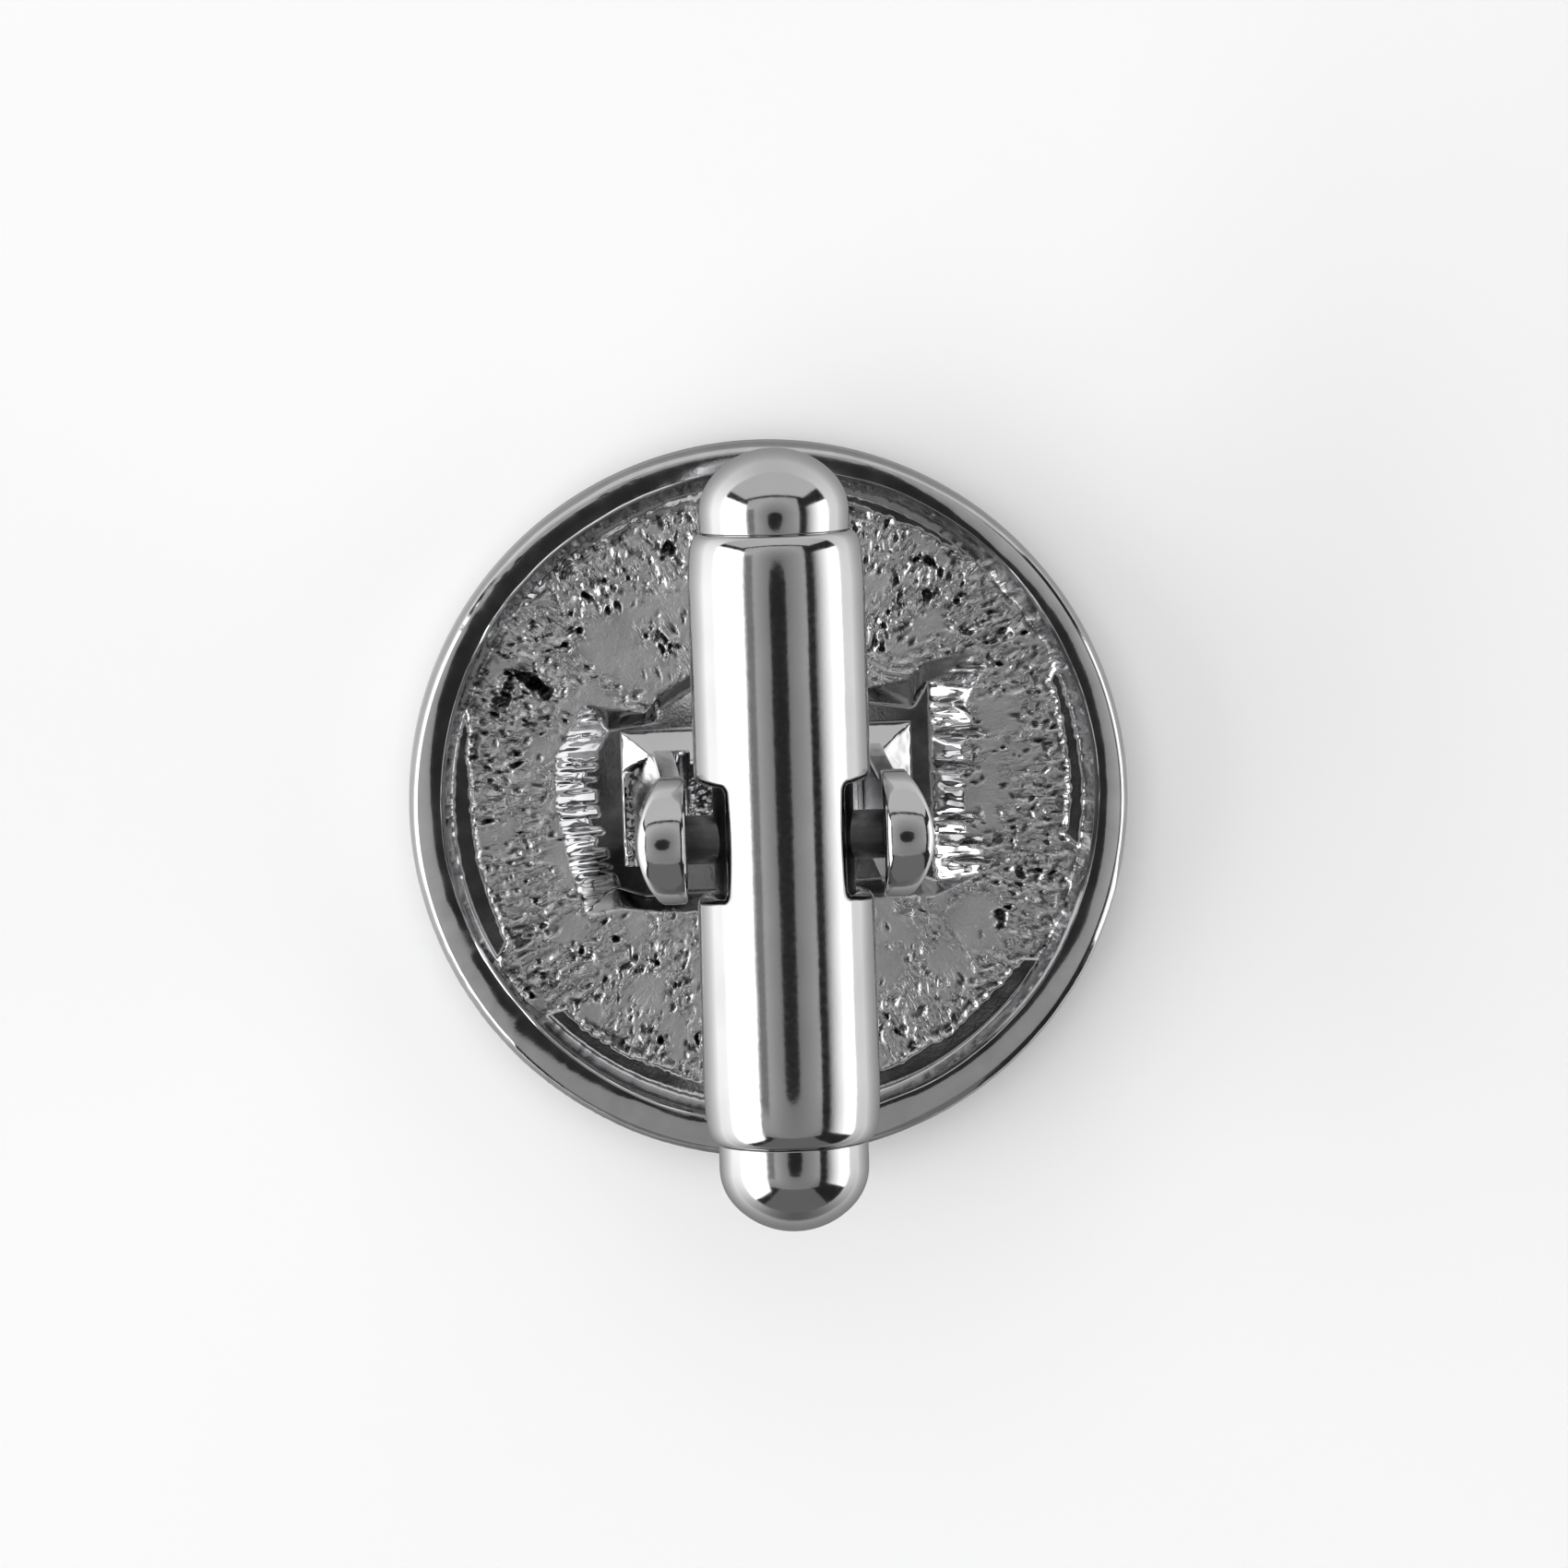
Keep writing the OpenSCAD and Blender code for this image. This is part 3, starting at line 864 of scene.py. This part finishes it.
def make_foot(shell):
    """Foot of the fork: straight sides out of the pocket, then four softly joined slopes up to its top."""
    x, y = np.meshgrid(foot_line(FOOT_HALF[0]), foot_line(FOOT_HALF[1]), indexing="ij")
    across, along = FOOT_HALF[0] - abs(x), FOOT_HALF[1] - abs(y)
    soft = 0.03
    planes = np.stack([FOOT_SLOPES[0] * across, FOOT_SLOPES[1] * along, FOOT_TOP - FOOT_SIDE + 0 * x])
    z = FOOT_SIDE - soft * np.log(np.exp(-planes / soft).sum(0))
    z -= 0.04 * np.clip(1 - np.minimum(across, along) / FOOT_ROUND, 0, 1) ** 2
    points = at(x, y, foot_relief(x, y, z))
    shell.grid(points)
    loop = border(points)
    low = loop * [1, 1, 0] + [0, 0, POCKET_H - 0.15]
    shell.grid(np.array([loop, low]), wrap=True)
    shell.cap(low)


def apply_modifier(obj, kind, **settings):
    """Gives the object the mesh that a modifier makes of it."""
    modifier = obj.modifiers.new(kind.lower(), kind)
    for key, value in settings.items():
        setattr(modifier, key, value)
    bpy.context.view_layer.update()
    graph = bpy.context.evaluated_depsgraph_get()
    mesh = bpy.data.meshes.new_from_object(obj.evaluated_get(graph))
    obj.modifiers.clear()
    old = obj.data
    obj.data = mesh
    bpy.data.meshes.remove(old)


def make_fork():
    """The foot joined with both legs to one closed mesh."""
    foot = Shell()
    make_foot(foot)
    fork = foot.build("fork", sharp=60, shift=PIN_Y)
    for side in (1, -1):
        leg = Shell()
        make_leg(leg, side)
        tool = leg.build("leg", sharp=60, shift=PIN_Y)
        apply_modifier(fork, "BOOLEAN", object=tool, operation="UNION", solver="EXACT")
        bpy.data.objects.remove(tool)
    finish_mesh(fork.data, 35)
    return fork


# Bar

# Points round the bar, half length of the patches round its windows, and a patch's steps along the bar
RING_COUNT = 192
PATCH_HALF = 2.3
PATCH_COUNT = 40

# Direction in degrees at which the barrel's shoulder starts to round off
SHOULDER_START = 13.8


def end_drop(y):
    """How far the barrel's surface lies below its full radius where its ends are swaged in."""
    u = max(abs(y) - (BARREL_HALF - SWAGE_L), 0)
    return SWAGE_CURVE * u * u


def ring(radius, y, turns):
    """Circle round the bar's axis."""
    return at(radius * np.cos(turns), y, PIN_Z + radius * np.sin(turns))


def barrel_profile():
    """Outer radius and place along Y, from the windows' patch over the shoulder to an end's face."""
    start = BARREL_HALF - SHOULDER_L
    places = np.concatenate([[PATCH_HALF, 3.4, 4.5, 5.6], np.linspace(BARREL_HALF - SWAGE_L, start, 12)])
    rows = [(BARREL_R - end_drop(y), y) for y in places]
    top = rows[-1][0]
    fall = top - (BARREL_R - END_DROP)
    for along, down in bend(math.radians(SHOULDER_START), 12):
        rows.append((top - fall * down, start + SHOULDER_L * along))
    return rows


def window_outline():
    """Outline of a window in the unrolled outer surface, as angle times radius and place along Y.

    It runs along the upper side, the +Y end, the lower side and the -Y end, each from the middle of one
    rounded corner to the middle of the next."""
    half_turn = math.acos(BRIDGE_HALF / BARREL_R)
    s, c = half_turn * BARREL_R, WINDOW_CORNER

    def corner(cx, cy, start):
        a = np.radians(np.linspace(start, start + 45, 7))
        return at(cx + c * np.cos(a), cy + c * np.sin(a))

    def stretch(points, count):
        steps = np.linalg.norm(np.diff(points, axis=0), axis=1)
        passed = np.concatenate([[0], np.cumsum(steps)])
        want = np.linspace(0, passed[-1], count + 1)
        return at(*[np.interp(want, passed, points[:, k]) for k in (0, 1)])[:-1]

    y, x = WINDOW_HALF - c, s - c
    centres = [(x, -y), (x, y), (-x, y), (-x, -y), (x, -y)]
    sides = []
    for k, count in enumerate((PATCH_COUNT, RING_COUNT // 2) * 2):
        points = np.vstack([corner(*centres[k], 90 * k - 45), corner(*centres[k + 1], 90 * k)])
        sides.append(stretch(points, count))
    return np.vstack(sides)


def patch_outline():
    """Border of the patch round a window: half the bar round, as angle times radius and place along Y."""
    s = math.pi / 2 * BARREL_R
    along = np.linspace(-PATCH_HALF, PATCH_HALF, PATCH_COUNT + 1)[:-1]
    round_way = np.linspace(s, -s, RING_COUNT // 2 + 1)[:-1]
    half = np.vstack([at(s, along), at(round_way, PATCH_HALF)])
    return np.vstack([half, -half])


def on_barrel(flat, depth, side, pinch):
    """Places points of the unrolled outer surface on the bar, at a depth below it.

    Pinch keeps the window's sides upright: at each depth they stay at the bridge's half width."""
    radius = BARREL_R - depth
    turn = flat[:, 0] / BARREL_R
    scale = np.arccos(BRIDGE_HALF / radius) / math.acos(BRIDGE_HALF / BARREL_R)
    turn = turn * (1 + (scale - 1) * pinch)
    return at(side * radius * np.cos(turn), flat[:, 1], PIN_Z + radius * np.sin(turn))


def window_patch(shell, side):
    """Outer and inner surface round one window, and the window's rounded wall."""
    outline = window_outline()
    reach = patch_outline()
    centre_way = outline / np.linalg.norm(outline, axis=1)[:, None]
    wall = BARREL_R - BORE_R
    edge = WINDOW_ROUND
    for depth, first in ((0.0, edge), (wall, 0.04)):
        rows = []
        for s in (0.0, 0.06, 0.14, 0.25, 0.4, 0.6, 0.8, 1.0):
            start = outline + centre_way * first
            rows.append(on_barrel(start + (reach - start) * s, depth, side, 1 - s))
        shell.grid(np.array(rows), wrap=True)
    rows = []
    for k in range(10):
        a = math.radians(90 * k / 9)
        rows.append((edge * (1 - math.sin(a)), edge * (1 - math.cos(a))))
    rows += [(0.0, 0.32), (0.0, wall - 0.04), (0.012, wall - 0.012), (0.04, wall)]
    rows = [on_barrel(outline + centre_way * grow, depth, side, 1.0) for grow, depth in rows]
    shell.grid(np.array(rows), wrap=True)


def make_barrel():
    """Tube of the bar, from both ends to the patches round its windows."""
    shell = Shell()
    turns = np.linspace(0, 2 * math.pi, RING_COUNT, endpoint=False)
    for end in (1, -1):
        outer = [ring(r, end * y, turns) for r, y in barrel_profile()]
        inner = [ring(BORE_R, end * y, turns) for y in (BARREL_HALF, 6.0, 4.2, PATCH_HALF)]
        shell.grid(np.array(outer + inner), wrap=True)
    for side in (1, -1):
        window_patch(shell, side)
    obj = shell.build("bar_barrel", sharp=50, shift=PIN_Y)
    round_shading(obj.data)
    return obj


def round_shading(mesh):
    """Makes the shading of the barrel's straight part exactly round, also next to its windows."""
    corner_count = len(mesh.loops)
    normal, vertex = np.zeros(corner_count * 3), np.zeros(corner_count, int)
    place = np.zeros(len(mesh.vertices) * 3)
    mesh.corner_normals.foreach_get("vector", normal)
    mesh.loops.foreach_get("vertex_index", vertex)
    mesh.vertices.foreach_get("co", place)
    normal = normal.reshape(-1, 3)
    place = place.reshape(-1, 3)[vertex] / MM - [0, PIN_Y, PIN_Z]
    radius = np.hypot(place[:, 0], place[:, 2])
    way = place * [1, 0, 1] / radius[:, None]
    straight = (radius > BARREL_R - 0.001) & (abs(place[:, 1]) < BARREL_HALF - SWAGE_L)
    outside = straight & ((normal * way).sum(1) > 0.9)
    normal[outside] = way[outside]
    mesh.normals_split_custom_set(normal.tolist())


def revolve(shell, profile, count, flip=1, axes=(0, 1, 2)):
    """Closed turned shape from a profile of radius and place along the bar. Axes puts X, Y and Z in another
    order, for a shape along the pin."""
    turns = np.linspace(0, 2 * math.pi, count, endpoint=False)
    rows = np.array([ring(radius, flip * place, turns) for radius, place in profile])[..., axes]
    shell.grid(rows, wrap=True)
    shell.cap(rows[0])
    shell.cap(rows[-1])


def make_cap(name, flip, tip):
    """Domed end cap with its spigot in the barrel's bore. The dome's side is a tighter arc than its tip."""
    spigot = BORE_R - SEAT_PLAY
    base = tip - CAP_DOME
    side_x = CAP_R - CAP_SIDE_R
    tip_r = (CAP_DOME**2 + side_x**2 - CAP_SIDE_R**2) / (2 * (CAP_DOME - CAP_SIDE_R))
    meet = math.atan2(tip_r - CAP_DOME, side_x)
    edge = 0.05
    profile = [(spigot - 0.08, SPIGOT_END), (spigot, SPIGOT_END + 0.08), (spigot, CAP_SEAT)]
    for a in np.linspace(0, math.pi / 2, 5):
        profile.append((CAP_R - edge + edge * math.sin(a), CAP_SEAT + edge * (1 - math.cos(a))))
    for a in np.linspace(0, meet, 17):
        profile.append((side_x + CAP_SIDE_R * math.cos(a), base + CAP_SIDE_R * math.sin(a)))
    for a in np.linspace(meet, math.pi / 2 - 0.01, 21)[1:]:
        profile.append((tip_r * math.cos(a), tip - tip_r + tip_r * math.sin(a)))
    shell = Shell()
    revolve(shell, profile, 160, flip)
    return shell.build(name, sharp=50, shift=PIN_Y)


def make_pin():
    """Pin through both eyes, with softly domed ends."""
    dome = 0.06
    profile = []
    for k in range(9):
        a = math.pi / 2 * k / 8
        profile.append((PIN_R * math.sin(a) + 0.002, PIN_HALF - dome * (1 - math.cos(a))))
    profile += [(r, -x) for r, x in reversed(profile)]
    shell = Shell()
    revolve(shell, profile, 64, axes=(1, 0, 2))
    return shell.build("rivet_pin", sharp=50, shift=PIN_Y)


# Materials

# Widths of the waves and the grain in polished plating
WAVE_SIZE = 1.4
GRAIN_SIZE = 0.12

# Strokes in the casting: width and length in millimetres, at this distance from the centre
STROKE_W = 0.09
STROKE_L = 0.3
STROKE_R = 7.5


class Nodes:
    """Short way to build the node tree of a material or of the world."""

    def __init__(self, owner):
        self.owner = owner
        owner.use_nodes = True
        self.tree = owner.node_tree
        self.tree.nodes.clear()

    def add(self, kind, values=(), **settings):
        node = self.tree.nodes.new(kind)
        for key, value in settings.items():
            setattr(node, key, value)
        for socket, value in dict(values).items():
            if isinstance(value, bpy.types.NodeSocket):
                self.tree.links.new(value, node.inputs[socket])
            else:
                node.inputs[socket].default_value = value
        return node

    def math(self, operation, *values):
        return self.add("ShaderNodeMath", enumerate(values), operation=operation).outputs[0]

    def product(self, first, *factors):
        for factor in factors:
            first = self.math("MULTIPLY", first, factor)
        return first

    def vector(self, operation, *values, out="Vector"):
        return self.add("ShaderNodeVectorMath", enumerate(values), operation=operation).outputs[out]

    def spread(self, value, low, high, to_low, to_high):
        return self.add("ShaderNodeMapRange", enumerate((value, low, high, to_low, to_high))).outputs[0]

    def place(self):
        return self.add("ShaderNodeTexCoord").outputs["Object"]

    def split(self, vector):
        return self.add("ShaderNodeSeparateXYZ", {0: vector}).outputs

    def noise(self, place, scale, detail):
        values = {"Vector": place, "Scale": scale, "Detail": detail}
        return self.add("ShaderNodeTexNoise", values).outputs["Fac"]

    def bump(self, height, distance, **under):
        values = {"Height": height, "Distance": distance, "Strength": 1.0, **under}
        return self.add("ShaderNodeBump", values).outputs[0]

    def glow(self, level):
        return self.add("ShaderNodeEmission", {"Color": (1, 1, 1, 1), "Strength": level})

    def metal(self, tone, rough, normal):
        """Plated metal of a very slightly blue grey."""
        colour = self.add("ShaderNodeCombineColor", {0: tone, 1: tone, 2: self.product(tone, 1.012)})
        values = {"Base Color": colour.outputs[0], "Metallic": 1.0, "Roughness": rough, "Normal": normal}
        return self.add("ShaderNodeBsdfPrincipled", values)

    def done(self, shader, kind="ShaderNodeOutputMaterial"):
        """Sends the shader to the output and gives the material or world back."""
        self.add(kind, {"Surface": shader.outputs[0]})
        return self.owner


def new_material(name):
    return Nodes(bpy.data.materials.new(name))


def plated(name, grey, roughness, wave, grain):
    """Polished plating with slightly uneven tone, and faint waves and fine grain of the given heights."""
    n = new_material(name)
    place = n.place()
    broad = n.noise(place, 1 / (WAVE_SIZE * MM), 1.0)
    fine = n.noise(place, 1 / (GRAIN_SIZE * MM), 3.0)
    tone = n.spread(broad, 0.3, 0.7, grey * 0.96, grey * 1.03)
    rough = n.spread(fine, 0.25, 0.75, roughness * 0.7, roughness * 1.3)
    bump = n.bump(fine, grain * MM, Normal=n.bump(broad, wave * MM))
    return n.done(n.metal(tone, rough, bump))


def tumbling_marks_and_shade(n, place, broad, finish_and_highlight):
    """Fine strokes that point to the centre, and round specks further in, where the finish is rough. The bump
    sinks them, and their colour is darkened as painted shade.
    """
    flat = n.vector("MULTIPLY", place, (1, 1, 0))
    reach = n.vector("LENGTH", flat, out="Value")
    across = n.vector("MULTIPLY", n.vector("NORMALIZE", flat), 3 * [STROKE_R / STROKE_W])
    along = n.add("ShaderNodeCombineXYZ", {2: n.math("DIVIDE", reach, STROKE_L * MM)}).outputs[0]
    strokes = n.noise(n.vector("ADD", across, along), 1.0, 2.0)
    specks = n.noise(place, 1 / (0.13 * MM), 2.0)
    outer = n.spread(n.math("ADD", reach, n.product(broad, 3 * MM)), 6.4 * MM, 8.6 * MM, 0.0, 1.0)
    strokes = n.product(n.spread(strokes, 0.55, 0.68, 0.0, 1.0), n.spread(outer, 0.0, 1.0, 0.35, 1.0))
    specks = n.product(n.spread(specks, 0.6, 0.72, 0.0, 1.0), n.spread(outer, 0.0, 1.0, 1.0, 0.4))
    share = n.product(n.spread(finish_and_highlight, 0.15, 0.35, 0.0, 1.0), n.spread(finish_and_highlight, 0.6, 0.95, 1.0, 0.3))
    return n.product(n.math("MAXIMUM", strokes, specks), share)


def cast_metal(grey):
    """Plated casting: satin and pitted where its finish is rough, polished elsewhere, with painted shade in
    its hollows.
    """
    n = new_material("cast_metal")
    place = n.place()
    finish_and_highlight, hollow_shade = [
        n.add("ShaderNodeAttribute", attribute_name=name, attribute_type="GEOMETRY").outputs["Fac"]
        for name in ("finish_and_highlight", "hollow_shade")
    ]
    broad = n.noise(place, 1 / (0.7 * MM), 3.0)
    fine = n.noise(place, 1 / (0.08 * MM), 2.0)
    marks_and_shade = tumbling_marks_and_shade(n, place, broad, finish_and_highlight)
    # Tone darkened as painted shade in the marks and hollows, and brightened as a painted highlight where the
    # finish is below 0
    tone = n.product(
        n.spread(broad, 0.3, 0.7, grey * 0.92, grey * 1.06),
        n.spread(marks_and_shade, 0.0, 1.0, 1.0, 0.45),
        n.spread(hollow_shade, 0.1, 0.9, 1.0, 0.15),
        n.spread(finish_and_highlight, -1.0, 0.0, 1.6, 1.0),
    )
    rough = n.math("ADD", n.spread(finish_and_highlight, 0.0, 1.0, 0.1, 0.46), n.spread(broad, 0.3, 0.7, -0.03, 0.03))
    height = n.math("SUBTRACT", n.product(fine, n.spread(finish_and_highlight, 0.0, 1.0, 0.04, 0.8)), marks_and_shade)
    return n.done(n.metal(tone, rough, n.bump(height, 0.02 * MM)))


# Stage: floor and light panels round the object, which its polished metal mirrors

# Height of the ceiling and distance of the side panels, Y where the ceiling meets the slanted near panel, and
# half width of the floor
ROOM = 400.0
NEAR_EDGE = -285.0
FLOOR_HALF = 1500.0

# Opening in the ceiling for the camera: centre and half sizes
OPENING = (-3.0, -12.0, 74.0, 66.0)

# Dark strip in the ceiling: X of its middle, and the distances between which it fades out along X and Y
STRIP_X = -300.0
STRIP_FADE_X = (45.0, 62.0)
STRIP_FADE_Y = (105.0, 140.0)

# Grey of the metal that the panels' levels were set for
LEVEL_GREY = 0.4


def panel_glow(name, strength):
    """Plain glowing surface."""
    n = new_material(name)
    return n.done(n.glow(strength))


def fading_glow(name, top, bottom, top_level, bottom_level):
    """Glowing surface that changes evenly between two heights."""
    n = new_material(name)
    height = n.split(n.place())[2]
    return n.done(n.glow(n.spread(height, top * MM, bottom * MM, top_level, bottom_level)))


def add_plane(name, corners, material, seen=False):
    """Flat stage piece with four corners."""
    mesh = bpy.data.meshes.new(name)
    mesh.from_pydata([Vector(c) * MM for c in corners], [], [(0, 1, 2, 3)])
    mesh.materials.append(material)
    obj = bpy.data.objects.new(name, mesh)
    bpy.context.scene.collection.objects.link(obj)
    obj.visible_camera = seen
    obj.visible_shadow = False


def ceiling_glow(dim, bright):
    """Ceiling card, dimmer towards the middle and the near side, with a round opening for the camera and a
    dark strip."""
    n = new_material("ceiling_glow")
    axes = n.split(n.place())
    x, y = n.math("DIVIDE", axes[0], MM), n.math("DIVIDE", axes[1], MM)
    u = n.math("DIVIDE", n.math("SUBTRACT", x, OPENING[0]), OPENING[2])
    v = n.math("DIVIDE", n.math("SUBTRACT", y, OPENING[1]), OPENING[3])
    oval = n.math("ADD", *[n.math("POWER", n.math("ABSOLUTE", way), 2.4) for way in (u, v)])
    out = n.math("SQRT", n.math("ADD", n.product(x, x), n.product(y, y)))
    strip_x = n.spread(n.math("ABSOLUTE", n.math("SUBTRACT", x, STRIP_X)), *STRIP_FADE_X, 0.0, 1.0)
    strip_y = n.spread(n.math("ABSOLUTE", y), *STRIP_FADE_Y, 0.0, 1.0)
    level = n.product(
        n.spread(out, 60.0, 270.0, dim, bright),
        n.spread(x, -200.0, 200.0, 1.12, 0.94),
        n.spread(y, -230.0, -60.0, 0.6, 1.0),
        n.spread(oval, 0.85, 1.25, 0.1, 1.0),
        n.spread(n.math("MAXIMUM", strip_x, strip_y), 0.0, 1.0, 0.42, 1.0),
    )
    return n.done(n.glow(level))


def floor_material(shade, left, right, far, near):
    """White floor to the camera. Mirrored in the metal it glows as painted light for the lit floor, with a
    level of its own on each side of the object.

    On the near side it darkens beyond a short distance."""
    n = new_material("floor")
    place = n.place()
    away = n.vector("LENGTH", place, out="Value")
    x, y = n.split(n.vector("NORMALIZE", place))[:2]
    side = n.product(x, x, n.spread(x, -0.2, 0.2, left, right))
    near = n.spread(away, 38 * MM, 46 * MM, near, 0.35 * near)
    end = n.product(y, y, n.spread(y, -0.2, 0.2, near, far))
    # Close to the object the glow dims, a painted contact shadow in the floor that the metal mirrors
    level = n.product(n.math("ADD", side, end), n.spread(away, 6 * MM, 36 * MM, 0.25, 1.0))
    white = n.add("ShaderNodeBsdfDiffuse", {"Color": (shade, shade, shade, 1)})
    to_camera = n.add("ShaderNodeLightPath").outputs["Is Camera Ray"]
    mixed = {0: to_camera, 1: n.glow(level).outputs[0], 2: white.outputs[0]}
    return n.done(n.add("ShaderNodeMixShader", mixed))


def add_floor(gain):
    """Floor that the object lies on, the one stage piece that the camera sees."""
    half = FLOOR_HALF
    add_plane(
        "floor",
        [(-half, -half, 0), (half, -half, 0), (half, half, 0), (-half, half, 0)],
        floor_material(0.9, left=2.3 * gain, right=1.6 * gain, far=1.07 * gain, near=0.65 * gain),
        seen=True,
    )


def add_panels(gain):
    """Four panels round the object and the ceiling over it, seen only by the metal."""
    add_plane(
        "left_softbox",
        [(-ROOM, -430, 0), (-ROOM, 220, 0), (-ROOM, 220, 412), (-ROOM, -430, 412)],
        panel_glow("left_glow", 3.2 * gain),
    )
    add_plane(
        "right_softbox",
        [(ROOM, -230, 0), (ROOM, 140, 0), (ROOM, 140, 385), (ROOM, -230, 385)],
        fading_glow("right_glow", 373, 100, 0.05 * gain, 3.0 * gain),
    )
    add_plane(
        "far_sweep",
        [(-512, ROOM, 0), (512, ROOM, 0), (512, ROOM, 440), (-512, ROOM, 440)],
        panel_glow("sweep_glow", 1.0 * gain),
    )
    add_plane(
        "near_panel",
        [(-250, -ROOM, 0), (250, -ROOM, 0), (200, NEAR_EDGE, ROOM), (-200, NEAR_EDGE, ROOM)],
        panel_glow("near_glow", 0.28 * gain),
    )
    add_plane(
        "ceiling",
        [(-385, NEAR_EDGE, ROOM), (302, NEAR_EDGE, ROOM), (302, 308, ROOM), (-385, 308, ROOM)],
        ceiling_glow(dim=0.38 * gain, bright=0.8 * gain),
    )


def make_stage(metal):
    """Builds floor, panels, sky and key light for metal of the given grey."""
    gain = LEVEL_GREY / metal
    add_floor(gain)
    add_panels(gain)
    make_sky(0.05 * gain)
    add_key_light()
    bpy.context.scene.view_settings.view_transform = "Standard"


def add_key_light():
    """Wide soft sun from the upper left, which the metal doesn't mirror."""
    lamp = bpy.data.lights.new("key", "SUN")
    lamp.energy = 1.47
    lamp.angle = math.radians(60)
    key = bpy.data.objects.new("key", lamp)
    key.visible_glossy = False
    key.rotation_euler = (math.radians(-8), math.radians(-10), 0)
    bpy.context.scene.collection.objects.link(key)


def make_sky(mirrored):
    """World that is white to the camera and as dark as given in the metal."""
    n = Nodes(bpy.data.worlds.new("sky"))
    to_camera = n.add("ShaderNodeLightPath").outputs["Is Camera Ray"]
    back = n.add("ShaderNodeBackground", {"Strength": n.spread(to_camera, 0.0, 1.0, mirrored, 1.0)})
    bpy.context.scene.world = n.done(back, "ShaderNodeOutputWorld")


# Camera: point that it looks at, its leans from the upright along X and Y and its roll in degrees, its
# distance, its focal length and the photo's width in pixels, and its sensor's width

CAMERA_AIM = (0.044, 1.435, 12.605)
CAMERA_TILT_X = -1.96
CAMERA_TILT_Y = 5.37
CAMERA_ROLL = -1.82
CAMERA_DISTANCE = 250.0
FOCAL_PIXELS = 10711.3
IMAGE_WIDTH = 1700
SENSOR = 36.0


def make_camera():
    """Camera at the photo's view."""
    data = bpy.data.cameras.new("camera")
    data.sensor_width = SENSOR
    data.lens = FOCAL_PIXELS / IMAGE_WIDTH * SENSOR
    data.clip_start = 0.01
    data.clip_end = 10
    camera = bpy.data.objects.new("camera", data)
    bpy.context.scene.collection.objects.link(camera)
    leans = [math.tan(math.radians(tilt)) for tilt in (CAMERA_TILT_X, CAMERA_TILT_Y)]
    away = Vector((*leans, 1)).normalized()
    right = (-away).cross(Vector((0, 1, 0))).normalized()
    up = away.cross(right)
    roll = math.radians(CAMERA_ROLL)
    turned_right = right * math.cos(roll) + up * math.sin(roll)
    turned_up = up * math.cos(roll) - right * math.sin(roll)
    axes = Matrix((turned_right, turned_up, away)).transposed().to_4x4()
    place = (Vector(CAMERA_AIM) + away * CAMERA_DISTANCE) * MM
    camera.matrix_world = Matrix.Translation(place) @ axes
    bpy.context.scene.camera = camera


METAL = 0.5
polish = plated("polished_plating", grey=METAL, roughness=0.11, wave=0.006, grain=0.001)
fork_metal = plated("fork_plating", grey=0.55, roughness=0.1, wave=0.006, grain=0.0015)
# Steel of the pin and core, whose very dark grey is painted shade for the shadow inside the bar
shaded_steel = plated("steel_with_painted_shade", grey=0.12, roughness=0.35, wave=0.004, grain=0.004)
cast = cast_metal(grey=0.58)
dress(make_casting(), "base", "cast_metal", cast, "button")
dress(make_fork(), "base", "cast_metal", fork_metal, "button")
dress(make_pin(), "base", "pin_steel", shaded_steel, "pivot_pin")
dress(make_barrel(), "toggle", "polished_metal", polish, "barrel")
dress(make_cap("cap_far", 1, FAR_TIP), "toggle", "polished_metal", polish, "end_cap_far")
dress(make_cap("cap_near", -1, NEAR_TIP), "toggle", "polished_metal", polish, "end_cap_near")
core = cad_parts["core"]
core.data.materials.clear()
core.data.materials.append(shaded_steel)
make_stage(METAL)
make_camera()
